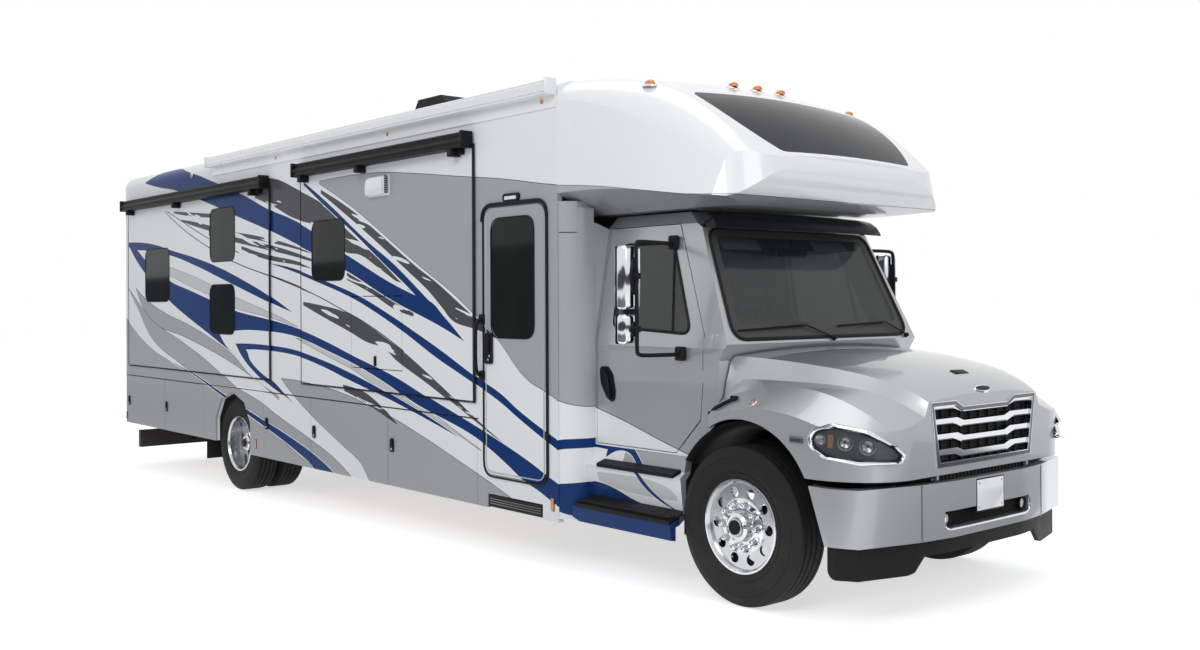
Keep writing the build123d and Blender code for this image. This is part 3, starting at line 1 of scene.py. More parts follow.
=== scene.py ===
# %% [markdown]
# # A motorhome, dressed
# The imported model is the frame: every CAD node is already in place and rides on its body.
# This lesson adds what a maker would add after the plain solids: rubber, trim, lamps, cushions
# and paint. The first cell loads the frame, and the end of the lesson prints the box of all that
# is shown.

# %% Load the frame
import bmesh
import bpy
import json
from math import cos, pi, radians, sin
from mathutils import Matrix, Vector


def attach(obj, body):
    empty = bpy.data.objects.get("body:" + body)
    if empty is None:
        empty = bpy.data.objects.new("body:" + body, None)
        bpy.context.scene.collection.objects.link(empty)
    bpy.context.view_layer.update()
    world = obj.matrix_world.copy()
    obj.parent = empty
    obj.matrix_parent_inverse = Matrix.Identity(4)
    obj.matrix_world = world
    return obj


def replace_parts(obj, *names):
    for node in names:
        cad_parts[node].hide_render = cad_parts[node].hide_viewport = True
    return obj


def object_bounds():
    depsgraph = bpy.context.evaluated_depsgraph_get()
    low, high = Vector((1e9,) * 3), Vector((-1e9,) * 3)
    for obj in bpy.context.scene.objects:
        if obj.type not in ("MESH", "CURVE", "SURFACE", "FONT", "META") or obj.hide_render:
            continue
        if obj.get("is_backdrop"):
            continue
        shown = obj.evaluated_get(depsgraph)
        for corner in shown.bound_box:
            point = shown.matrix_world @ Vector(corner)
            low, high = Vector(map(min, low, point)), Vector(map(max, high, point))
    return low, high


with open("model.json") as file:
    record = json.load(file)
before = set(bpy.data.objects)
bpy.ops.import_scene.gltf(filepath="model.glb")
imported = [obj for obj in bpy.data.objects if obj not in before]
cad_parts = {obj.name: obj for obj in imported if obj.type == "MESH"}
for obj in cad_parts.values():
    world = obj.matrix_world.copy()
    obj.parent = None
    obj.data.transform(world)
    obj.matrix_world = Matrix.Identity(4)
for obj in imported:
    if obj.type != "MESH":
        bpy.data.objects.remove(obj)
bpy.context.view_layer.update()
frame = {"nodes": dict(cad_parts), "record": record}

# %% [markdown]
# The body of a motorhome is easiest to describe level, from its front axle, in millimetres:
# X forward, Y to the left and Z up. Parked and empty it stands a little nose down. One matrix
# takes the level drawing to the frame's metres, so every piece below is drawn level and
# placed once, in its mesh.

# %% The stance of the body
RAKE = 0.93
FRONT_AXLE_X = 4790.5
STANCE = (Matrix.Translation((FRONT_AXLE_X / 1000, 0, 0)) @ Matrix.Rotation(radians(RAKE), 4, "Y")
          @ Matrix.Scale(0.001, 4))


def spot(x, y, z):
    """A point of the level body, in millimetres, as a point of the frame in metres."""
    return STANCE @ Vector((x, y, z))


TYRE_R = 505.0
WHEELBASE = 7336.0
FRONT_AXLE_Z = TYRE_R / cos(radians(RAKE))
REAR_AXLE_Z = (TYRE_R - WHEELBASE * sin(radians(RAKE))) / cos(radians(RAKE))
SKIN = 1282.5
print("front axle at", tuple(round(v, 4) for v in spot(0, 0, FRONT_AXLE_Z)))

# %% [markdown]
# ## Camera
# A wide view from the right front, at eye height. The lens looks level along the body, and a
# small shift, not a tilt, lowers the picture, which keeps the door posts upright.

# %% Camera
PICTURE_W, FOCAL, SENSOR = 1200.0, 1190.0, 36.0
look = Vector((-0.7577, 0.6526, 0.0)).normalized()
right = Vector((0.6526, 0.7577, 0.0)).normalized()
up = right.cross(look)
lean = radians(0.25)
right, up = right * cos(lean) - up * sin(lean), up * cos(lean) + right * sin(lean)
camera = bpy.data.objects.new("camera", bpy.data.cameras.new("camera"))
bpy.context.collection.objects.link(camera)
turn = Matrix((right, up, -look)).transposed().to_4x4()
camera.matrix_world = (Matrix.Translation(spot(5098.9, -6694.0, 1930.0))
                       @ Matrix.Rotation(radians(RAKE), 4, "Y") @ turn)
camera.data.sensor_width = SENSOR
camera.data.lens = FOCAL / PICTURE_W * SENSOR
camera.data.shift_y = -24.5 / PICTURE_W
camera.data.clip_end = 300.0
bpy.context.scene.camera = camera
bpy.context.scene.view_settings.view_transform = "Standard"
print("camera at", tuple(round(v, 3) for v in camera.location))

# %% [markdown]
# ## Writing finishes
# A finish is a graph of nodes, but its sums read best as Python. Wire holds one socket and
# turns + - * / and comparisons into Math nodes; Finish makes the other nodes in one way:
# a type, its settings, then the values or wires of its sockets.

# %% Wires and finishes
class Wire:
    """One socket of a shader graph, which can be added, scaled and compared like a number."""

    def __init__(self, finish, socket):
        self.finish, self.socket = finish, socket

    def math(self, operation, first, second=0.0, third=0.0):
        return self.finish.node("ShaderNodeMath", {"operation": operation}, {0: first, 1: second, 2: third})

    def __add__(self, other): return self.math("ADD", self, other)
    def __radd__(self, other): return self.math("ADD", other, self)
    def __sub__(self, other): return self.math("SUBTRACT", self, other)
    def __rsub__(self, other): return self.math("SUBTRACT", other, self)
    def __mul__(self, other): return self.math("MULTIPLY", self, other)
    def __rmul__(self, other): return self.math("MULTIPLY", other, self)
    def __truediv__(self, other): return self.math("DIVIDE", self, other)
    def __gt__(self, other): return self.math("GREATER_THAN", self, other)
    def __lt__(self, other): return self.math("LESS_THAN", self, other)
    def __neg__(self): return self.math("MULTIPLY", self, -1.0)
    def size(self): return self.math("ABSOLUTE", self)
    def or_more(self, other): return self.math("MAXIMUM", self, other)
    def or_less(self, other): return self.math("MINIMUM", self, other)

    def ramp(self, low, high, start=0.0, end=1.0):
        """Runs smoothly from start to end as the wire goes from low to high."""
        return self.finish.node("ShaderNodeMapRange", {"interpolation_type": "SMOOTHSTEP"},
                                {"Value": self, "From Min": low, "From Max": high,
                                 "To Min": start, "To Max": end})


class Finish:
    """A material, or a world, that is built up from wires and ends in one shader."""

    def __init__(self, name, kept_in=None):
        self.material = (bpy.data.materials if kept_in is None else kept_in).new(name)
        self.material.use_nodes = True
        self.tree = self.material.node_tree
        self.shader = self.tree.nodes.get("Principled BSDF")
        if self.shader:
            self.tree.nodes["Material Output"].target = "ALL"

    def node(self, kind, settings=None, inputs=None, output=None):
        """A node of a kind, its settings, then its sockets' values or wires; gives a wire."""
        made = self.tree.nodes.new(kind)
        for key, value in (settings or {}).items():
            setattr(made, key, value)
        for key, value in (inputs or {}).items():
            self.join(value, made.inputs[key])
        if output is None:
            output = next(i for i, socket in enumerate(made.outputs) if socket.enabled)
        return Wire(self, made.outputs[output])

    def join(self, value, socket):
        if isinstance(value, Wire):
            self.tree.links.new(value.socket, socket)
        elif isinstance(value, tuple) and socket.type == "RGBA":
            socket.default_value = (*value[:3], 1.0)
        else:
            socket.default_value = value

    def place(self):
        """Object coordinates, in metres of the frame."""
        return self.node("ShaderNodeTexCoord", output="Object")

    def level(self):
        """X, Y and Z of the level body, in metres from the front axle."""
        mapped = self.node("ShaderNodeMapping", {"vector_type": "TEXTURE"},
                           {"Vector": self.place(), "Location": (FRONT_AXLE_X / 1000, 0, 0),
                            "Rotation": (0, radians(RAKE), 0)})
        split = self.node("ShaderNodeSeparateXYZ", inputs={0: mapped}).socket.node
        return [Wire(self, split.outputs[axis]) for axis in "XYZ"]

    def noise(self, scale, detail=3.0, roughness=0.5, stretch=(1, 1, 1), at=None):
        """Noise between 0 and 1, with a scale in bumps a metre, stretched along an axis."""
        vector = self.node("ShaderNodeMapping", {}, {"Vector": at or self.place(), "Scale": stretch})
        return self.node("ShaderNodeTexNoise", {}, {"Vector": vector, "Scale": scale, "Detail": detail,
                                                     "Roughness": roughness}, output="Fac")

    def mix(self, mask, below, above):
        """Colour below where mask is 0, and above where it is 1."""
        return self.node("ShaderNodeMix", {"data_type": "RGBA"}, {0: mask, 6: below, 7: above}, output=2)

    def bump(self, height, strength, distance):
        return self.node("ShaderNodeBump", {}, {"Height": height, "Strength": strength, "Distance": distance})

    def set(self, **values):
        """Sets sockets of the shader; words are joined by an underscore."""
        for key, value in values.items():
            self.join(value, self.shader.inputs[key.replace("_", " ")])
        return self.material


def grime(finish, clean, dust=(0.30, 0.28, 0.25), most=0.16):
    """Road dust, thickest near the ground, laid thinly over a clean colour."""
    height = finish.node("ShaderNodeSeparateXYZ", inputs={0: finish.place()}, output=2)
    low = height.ramp(0.9, 0.15)
    film = finish.noise(2.2, 5.0, 0.65) * low * most
    return finish.mix(film, clean, dust)


def orange_peel(finish, strength=0.03):
    """The faint ripple of sprayed paint."""
    return finish.bump(finish.noise(90.0, 2.0), strength, 0.002)


print("wires and finishes are ready")

# %% [markdown]
# ## Floor and light
# A pale floor and a white backdrop stand for a studio. The world gives soft light from all
# round, and three large lamps give the paint something to shine with. Bare metal shows only
# what it mirrors, so four grey cards, which light nothing, stand or lie out of view.

# %% Floor
def board(name, size, place, turn_xyz=(0, 0, 0)):
    """A plain board of the studio, as a stage object."""
    bm = bmesh.new()
    bmesh.ops.create_grid(bm, x_segments=1, y_segments=1, size=0.5)
    mesh = bpy.data.meshes.new(name)
    bm.to_mesh(mesh)
    bm.free()
    made = bpy.data.objects.new(name, mesh)
    made.location, made.rotation_euler = place, turn_xyz
    made.scale = (size[0], size[1], 1)
    bpy.context.collection.objects.link(made)
    made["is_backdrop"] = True
    return made


def rays(f, *kinds):
    """1 on rays of these kinds and 0 on all others."""
    found = [f.node("ShaderNodeLightPath", output="Is %s Ray" % kind) for kind in kinds]
    seen = found[0]
    for other in found[1:]:
        seen = seen.or_more(other)
    return seen


def studio_floor():
    """A pale floor that camera, mirror and glass rays see close to white, shadow and all."""
    f = Finish("studio_floor")
    glow = f.mix(1.0 - rays(f, "Diffuse"), (0.0, 0.0, 0.0), (0.62, 0.62, 0.62))
    return f.set(Base_Color=(0.80, 0.80, 0.80), Roughness=0.9, Emission_Color=glow, Emission_Strength=1.0)


floor = board("floor", (260, 260), (0, 0, -0.0005))
floor.data.materials.append(studio_floor())
print("floor made")

# %% World and lamps
f = Finish("studio", bpy.data.worlds)
bpy.context.scene.world = f.material
fill = f.node("ShaderNodeBackground", {}, {"Color": (0.93, 0.96, 1.0), "Strength": 0.52})
backdrop = f.node("ShaderNodeBackground", {}, {"Color": (1.0, 1.0, 1.0), "Strength": 1.0})
either = f.node("ShaderNodeMixShader", {}, {0: rays(f, "Camera", "Transmission", "Glossy"), 1: fill,
                                            2: backdrop})
f.join(either, f.tree.nodes["World Output"].inputs["Surface"])


def lamp(name, place, aim, size, power):
    """A large soft lamp at place that faces aim."""
    light = bpy.data.lights.new(name, "AREA")
    light.shape = "RECTANGLE"
    light.size, light.size_y = size
    light.energy = power
    made = bpy.data.objects.new(name, light)
    made.location = place
    made.rotation_euler = (Vector(aim) - Vector(place)).to_track_quat("-Z", "Y").to_euler()
    made.visible_camera = False
    bpy.context.collection.objects.link(made)
    return made


lamp("key_lamp", (9, -13, 10), (0, 0, 1.5), (9, 5), 640)
lamp("front_lamp", (16, -2, 6), (4, 0, 1.5), (6, 4), 230)
lamp("top_lamp", (0, 0, 14), (0, 0, 0), (14, 6), 480)
for card_name, place, turn_xyz, size in (("dark_card_side", (0, -34, 2.9), (pi / 2, 0, 0), (260, 5.5)),
                                         ("dark_card_front", (38, 0, 1.6), (pi / 2, 0, pi / 2), (90, 2.6)),
                                         ("low_card_side", (-6, -10.5, 0.01), (0, 0, 0), (40, 14)),
                                         ("low_card_front", (8.7, 2.4, 0.012), (0, 0, 0), (4.4, 8))):
    card = board(card_name, size, place, turn_xyz)
    tone = 0.22 if card_name.startswith("low") else 0.10
    card.data.materials.append(Finish(card_name).set(Base_Color=(tone, tone, tone * 1.05), Roughness=1.0))
    card.visible_camera = card.visible_diffuse = card.visible_shadow = card.visible_transmission = False

# %% [markdown]
# ## Metals, plastics and rubber
# Each finish changes a little from place to place: dust low down, wear, moulding grain or the
# turned rings of a wheel. The amounts are small, so that the piece still reads as one material.

# %% Metals
def make_chrome():
    f = Finish("chrome_plate")
    haze = f.noise(14.0, 4.0)
    return f.set(Base_Color=f.mix(haze * 0.25, (0.72, 0.74, 0.77), (0.58, 0.60, 0.64)), Metallic=1.0,
                 Roughness=haze * 0.06 + 0.05)


def make_dark_chrome():
    f = Finish("smoked_chrome")
    haze = f.noise(14.0, 4.0)
    return f.set(Base_Color=f.mix(haze * 0.25, (0.16, 0.165, 0.17), (0.10, 0.10, 0.105)), Metallic=0.9,
                 Roughness=haze * 0.08 + 0.12)


def make_polished_alloy():
    f = Finish("polished_alloy_wheel")
    x, y, z = f.level()
    near_front = x > -3.5
    from_axle = x - (near_front * (WHEELBASE / 1000) - WHEELBASE / 1000)
    height = z - (near_front * ((FRONT_AXLE_Z - REAR_AXLE_Z) / 1000) + REAR_AXLE_Z / 1000)
    radius = f.node("ShaderNodeMath", {"operation": "SQRT"}, {0: from_axle * from_axle + height * height})
    rings = f.node("ShaderNodeMath", {"operation": "SINE"}, {0: radius * 2600.0})
    smear = f.noise(9.0, 4.0)
    return f.set(Base_Color=grime(f, f.mix(smear * 0.5, (0.62, 0.63, 0.65), (0.45, 0.46, 0.48)), most=0.25),
                 Metallic=1.0, Roughness=smear * 0.14 + 0.12, Normal=f.bump(rings, 0.06, 0.0004))


def make_chassis_black():
    f = Finish("chassis_black_paint")
    chips = f.noise(26.0, 5.0, 0.7)
    black = f.mix(chips.ramp(0.55, 0.75), (0.014, 0.014, 0.015), (0.03, 0.028, 0.026))
    return f.set(Base_Color=grime(f, black, most=0.2), Roughness=chips * 0.3 + 0.42, Specular_IOR_Level=0.3,
                 Normal=f.bump(chips, 0.25, 0.002))


def make_cast_metal():
    f = Finish("cast_iron_block")
    grain = f.noise(160.0, 3.0)
    return f.set(Base_Color=f.mix(grain, (0.10, 0.10, 0.11), (0.20, 0.20, 0.21)), Metallic=0.7,
                 Roughness=grain * 0.3 + 0.5, Normal=f.bump(grain, 0.4, 0.0015))


print("metals are written")

# %% [markdown]
# Rubber and moulded plastic are nearly black and dull. What tells them apart is the size of the
# grain in their bump and how far their roughness wanders, so no image texture is needed.

# %% Rubber and plastics
def make_tyre():
    f = Finish("tyre_rubber")
    bloom = f.noise(7.0, 5.0, 0.6)
    return f.set(Base_Color=grime(f, f.mix(bloom, (0.008, 0.008, 0.009), (0.018, 0.018, 0.018)), most=0.10),
                 Roughness=bloom * 0.25 + 0.58, Specular_IOR_Level=0.22,
                 Normal=f.bump(f.noise(220.0, 2.0), 0.18, 0.001))


def make_black_plastic():
    f = Finish("black_moulded_plastic")
    grain = f.noise(420.0, 2.0)
    fade = f.noise(3.0, 3.0)
    return f.set(Base_Color=grime(f, f.mix(fade, (0.005, 0.005, 0.006), (0.011, 0.011, 0.012)), most=0.04),
                 Roughness=fade * 0.15 + 0.40, Specular_IOR_Level=0.16, Normal=f.bump(grain, 0.3, 0.0006))


def make_rubber_seal():
    f = Finish("black_rubber_seal")
    wipe = f.noise(30.0, 3.0)
    return f.set(Base_Color=f.mix(wipe, (0.006, 0.006, 0.007), (0.014, 0.014, 0.014)),
                 Roughness=wipe * 0.2 + 0.5, Specular_IOR_Level=0.2,
                 Normal=f.bump(f.noise(300.0), 0.15, 0.0005))


def make_floor_board():
    f = Finish("vinyl_plank_floor")
    x, y, z = f.level()
    plank = f.noise(3.0, 6.0, 0.7, stretch=(1, 12, 1))
    line = f.node("ShaderNodeMath", {"operation": "FRACT"}, {0: y * 6.5})
    gap = (line < 0.03) * 0.8
    wood = f.mix(plank, (0.20, 0.15, 0.11), (0.34, 0.27, 0.20))
    return f.set(Base_Color=f.mix(gap, wood, (0.07, 0.05, 0.04)), Roughness=plank * 0.2 + 0.35)


print("rubber and plastics are written")

# %% [markdown]
# Real glass would bend light and slow the render. A thin sheet reads well as a dark, glossy
# surface that lets part of the view through; behind the coach's dark tint nothing shows.

# %% Glass
def make_clear_glass(name, colour, clear=0.24, roughness=0.02):
    f = Finish(name)
    wash = f.noise(5.0, 3.0)
    f.material.use_backface_culling = False
    return f.set(Base_Color=f.mix(wash * 0.3, colour, tuple(c * 0.8 for c in colour)),
                 Roughness=wash * 0.02 + roughness, Alpha=wash * 0.06 + clear, Specular_IOR_Level=0.7)


def make_dark_glass(name, colour, low=0.03):
    f = Finish(name)
    wash = f.noise(4.0, 4.0, stretch=(1, 1, 0.4))
    return f.set(Base_Color=f.mix(wash, colour, tuple(c * 1.8 for c in colour)),
                 Roughness=wash * 0.05 + low, Specular_IOR_Level=0.10)


def make_lens(name, colour):
    """A moulded lamp lens with fine upright ribs."""
    f = Finish(name)
    x, y, z = f.level()
    ribs = f.node("ShaderNodeMath", {"operation": "SINE"}, {0: (x + y) * 900.0})
    return f.set(Base_Color=f.mix(ribs * 0.2 + 0.2, colour, tuple(c * 0.6 for c in colour)),
                 Roughness=ribs * 0.03 + 0.12, Coat_Weight=0.6, Normal=f.bump(ribs, 0.2, 0.0008))


def make_leather(name, colour):
    """Grained leather, worn a little lighter on its crowns."""
    f = Finish(name)
    cells = f.node("ShaderNodeTexVoronoi", {}, {"Vector": f.place(), "Scale": 330.0}, output="Distance")
    worn = f.noise(6.0, 4.0)
    return f.set(Base_Color=f.mix(worn * 0.5, colour, tuple(c * 1.5 for c in colour)),
                 Roughness=worn * 0.2 + 0.42, Normal=f.bump(cells, 0.35, 0.0006))


print("plain finishes are written")

# %% [markdown]
# ## The painted side
# The side is white with grey, charcoal and blue sweeps that run across doors, slide-outs and
# skirts alike. Decals would have to be cut at every door, so the sweeps are sums in the shader:
# each one lies between two curves of height over length, read in the level body, so that it
# stays whole when the doors are shut and moves with them when they open. Both sides share it.

# %% A sweep between two curves
def curve_height(f, x, points, reach):
    """The height of a curve through (length, height) points, in metres, at x."""
    (x0, x1), (z0, z1) = reach
    height = f.node("ShaderNodeFloatCurve", {}, {"Value": (x - x0) / (x1 - x0)})
    mapping = height.socket.node.mapping
    line = mapping.curves[0]
    while len(line.points) < len(points):
        line.points.new(0.5, 0.5)
    for point, (px, pz) in zip(line.points, points):
        point.location = ((px - x0) / (x1 - x0), (pz - z0) / (z1 - z0))
    mapping.update()
    return height * (z1 - z0) + z0


def sweep(f, x, z, low, high, fray=None, lip=0.0):
    """1 between the low and the high curve and 0 elsewhere; fray tears the low one."""
    every = low + high
    reach = ((min(p[0] for p in every), max(p[0] for p in every) + 0.001),
             (min(p[1] for p in every) - 0.01, max(p[1] for p in every) + 0.01))
    first = max(low[0][0], high[0][0])
    last = min(low[-1][0], high[-1][0])
    bottom, top = curve_height(f, x, low, reach), curve_height(f, x, high, reach)
    if fray is not None:
        bottom = bottom + fray
    return (z > bottom - lip) * (z < top + lip) * (x > first) * (x < last)


def pinstripe(f, x, z, points, width):
    """1 on a thin line along a curve."""
    reach = ((points[0][0], points[-1][0] + 0.001),
             (min(p[1] for p in points) - 0.01, max(p[1] for p in points) + 0.01))
    off = (z - curve_height(f, x, points, reach)).size()
    return (off < width / 2) * (x > points[0][0]) * (x < points[-1][0])


print("sweep and pinstripe are written")

# %% [markdown]
# The tables hold each sweep's lower and upper curve, or a thin line and its width. Points are
# close where a curve bends and far apart where it runs straight.

# %% The sweeps, as (length, height) in metres from the front axle
GREY_SWEEPS = {
    "rear_corner": ([(-10.7, 0.2), (-7.54, 0.2)],
                    [(-10.7, 1.80), (-10.55, 1.715), (-9.72, 1.372), (-9.04, 1.216), (-8.48, 1.115),
                     (-7.54, 0.883)]),
    "rear_wedge": ([(-10.49, 2.13), (-10.16, 1.874), (-9.59, 1.46), (-8.8, 1.224), (-8.13, 1.057),
                    (-7.46, 0.904), (-6.91, 0.73)],
                   [(-10.49, 2.13), (-9.84, 1.798), (-9.48, 1.659), (-8.75, 1.479), (-8.04, 1.287),
                    (-7.49, 1.104), (-6.91, 0.891)]),
    "long_wedge": ([(-10.21, 2.117), (-9.48, 1.659), (-8.66, 1.535), (-8.04, 1.426), (-7.45, 1.307),
                    (-6.9, 1.172), (-6.18, 0.935)],
                   [(-10.21, 2.117), (-9.73, 1.931), (-9.23, 1.801), (-8.48, 1.663), (-7.78, 1.501),
                    (-7.29, 1.363), (-6.79, 1.136), (-6.08, 0.941)]),
    "skirt_middle": ([(-7.2, 0.86), (-6.61, 0.732), (-6.15, 0.633), (-5.3, 0.413), (-4.9, 0.2), (-4.5, 0.2)],
                     [(-7.2, 1.0), (-6.61, 0.883), (-6.25, 0.78), (-5.52, 0.594), (-5.0, 0.443),
                      (-4.5, 0.2)]),
    "skirt_front": ([(-6.13, 1.153), (-5.88, 1.013), (-5.52, 0.847), (-4.91, 0.61), (-4.57, 0.485),
                     (-4.1, 0.2), (-1.9, 0.2)],
                    [(-6.13, 1.153), (-5.52, 1.137), (-4.7, 1.051), (-4.4, 0.993), (-4.05, 0.928),
                     (-3.5, 0.792), (-2.97, 0.643), (-2.31, 0.447), (-1.9, 0.3)]),
    "skirt_lower": ([(-7.2, 0.2), (-5.45, 0.2)],
                    [(-7.2, 0.80), (-6.61, 0.66), (-6.22, 0.565), (-5.9, 0.46), (-5.45, 0.33)]),
    "front_panel": ([(-5.28, 3.061), (-4.6, 2.778), (-4.25, 2.606), (-3.56, 2.26), (-2.96, 1.975),
                     (-2.63, 1.782), (-2.4, 1.636), (-2.01, 1.337), (-1.82, 1.27), (-1.54, 1.17),
                     (-1.3, 1.13)],
                    [(-5.28, 3.08), (-4.22, 3.074), (-3.6, 3.016), (-2.91, 2.934), (-2.35, 2.87),
                     (-1.66, 2.771), (-1.3, 2.74)]),
}
PALE_SWEEPS = {
    "pale_upper": ([(-9.6, 2.33), (-9.03, 2.241), (-8.47, 2.125), (-7.86, 2.006), (-7.21, 1.869),
                    (-6.35, 1.769), (-5.77, 1.675)],
                   [(-9.6, 2.42), (-9.03, 2.342), (-8.47, 2.249), (-7.86, 2.126), (-7.21, 1.985),
                    (-6.35, 1.816), (-5.77, 1.683)]),
    "pale_lower": ([(-5.8, 1.57), (-5.11, 1.411), (-4.67, 1.313), (-4.23, 1.181), (-3.72, 1.063),
                    (-3.15, 0.909), (-2.63, 0.75)],
                   [(-5.8, 1.57), (-5.11, 1.469), (-4.67, 1.362), (-4.23, 1.263), (-3.72, 1.135),
                    (-3.15, 0.934), (-2.63, 0.752)]),
}
CHARCOAL_SWEEPS = {
    "front_edge": ([(-5.25, 2.964), (-4.66, 2.683), (-4.17, 2.439), (-3.71, 2.199), (-3.37, 2.018),
                    (-3.16, 1.878), (-2.99, 1.766), (-2.7, 1.708), (-2.4, 1.636)],
                   [(-5.25, 3.00), (-4.6, 2.745), (-4.25, 2.573), (-3.93, 2.411), (-3.56, 2.227),
                    (-3.23, 2.079), (-2.94, 1.929), (-2.63, 1.765), (-2.4, 1.636)]),
    "middle_wedge": ([(-5.4, 2.66), (-4.76, 2.385), (-4.52, 2.356), (-4.2, 2.237), (-3.86, 2.096),
                      (-3.61, 2.001)],
                     [(-5.4, 2.90), (-5.01, 2.76), (-4.76, 2.60), (-4.6, 2.52), (-4.28, 2.36), (-4.04, 2.23),
                      (-3.81, 2.10), (-3.61, 2.001)]),
    "top_torn": ([(-6.7, 3.02), (-6.32, 2.915), (-5.76, 2.743), (-5.2, 2.66)],
                 [(-6.7, 3.22), (-6.32, 3.196), (-5.72, 3.03), (-5.2, 2.86)]),
    "blade": ([(-5.62, 1.896), (-5.14, 1.766), (-4.67, 1.643), (-4.39, 1.565), (-4.12, 1.524), (-3.87, 1.412),
               (-3.38, 1.237), (-2.9, 1.052), (-2.57, 0.922), (-2.1, 0.75)],
              [(-5.62, 1.93), (-5.26, 1.896), (-4.78, 1.833), (-4.39, 1.724), (-3.99, 1.582), (-3.76, 1.495),
               (-3.38, 1.327), (-3.04, 1.167), (-2.68, 0.989), (-2.1, 0.75)]),
    "under_blue": ([(-4.75, 2.13), (-4.3, 2.0), (-3.9, 1.86), (-3.6, 1.80)],
                   [(-4.75, 2.20), (-4.3, 2.055), (-3.9, 1.93), (-3.6, 1.84)]),
    "low_fleck": ([(-4.83, 1.10), (-4.5, 1.03), (-4.25, 0.96), (-3.9, 0.86)],
                  [(-4.83, 1.16), (-4.5, 1.12), (-4.25, 1.04), (-3.9, 0.87)]),
    "torn_line_a": ([(-7.2, 2.645), (-6.34, 2.535), (-5.47, 2.400)],
                    [(-7.2, 2.685), (-6.34, 2.575), (-5.47, 2.41)]),
    "torn_line_b": ([(-7.9, 2.68), (-7.16, 2.57), (-6.34, 2.455), (-5.44, 2.32)],
                    [(-7.9, 2.73), (-7.16, 2.625), (-6.34, 2.51), (-5.44, 2.345)]),
    "torn_line_c": ([(-7.04, 2.49), (-6.38, 2.36), (-5.83, 2.30), (-5.44, 2.25)],
                    [(-7.04, 2.53), (-6.38, 2.41), (-5.83, 2.34), (-5.44, 2.265)]),
    "torn_line_f": ([(-8.93, 2.99), (-8.37, 2.92), (-7.6, 2.86)],
                    [(-8.93, 3.01), (-8.37, 2.965), (-7.6, 2.90)]),
    "torn_line_g": ([(-8.7, 2.88), (-8.28, 2.80), (-7.6, 2.68)], [(-8.7, 2.90), (-8.28, 2.85), (-7.6, 2.74)]),
}
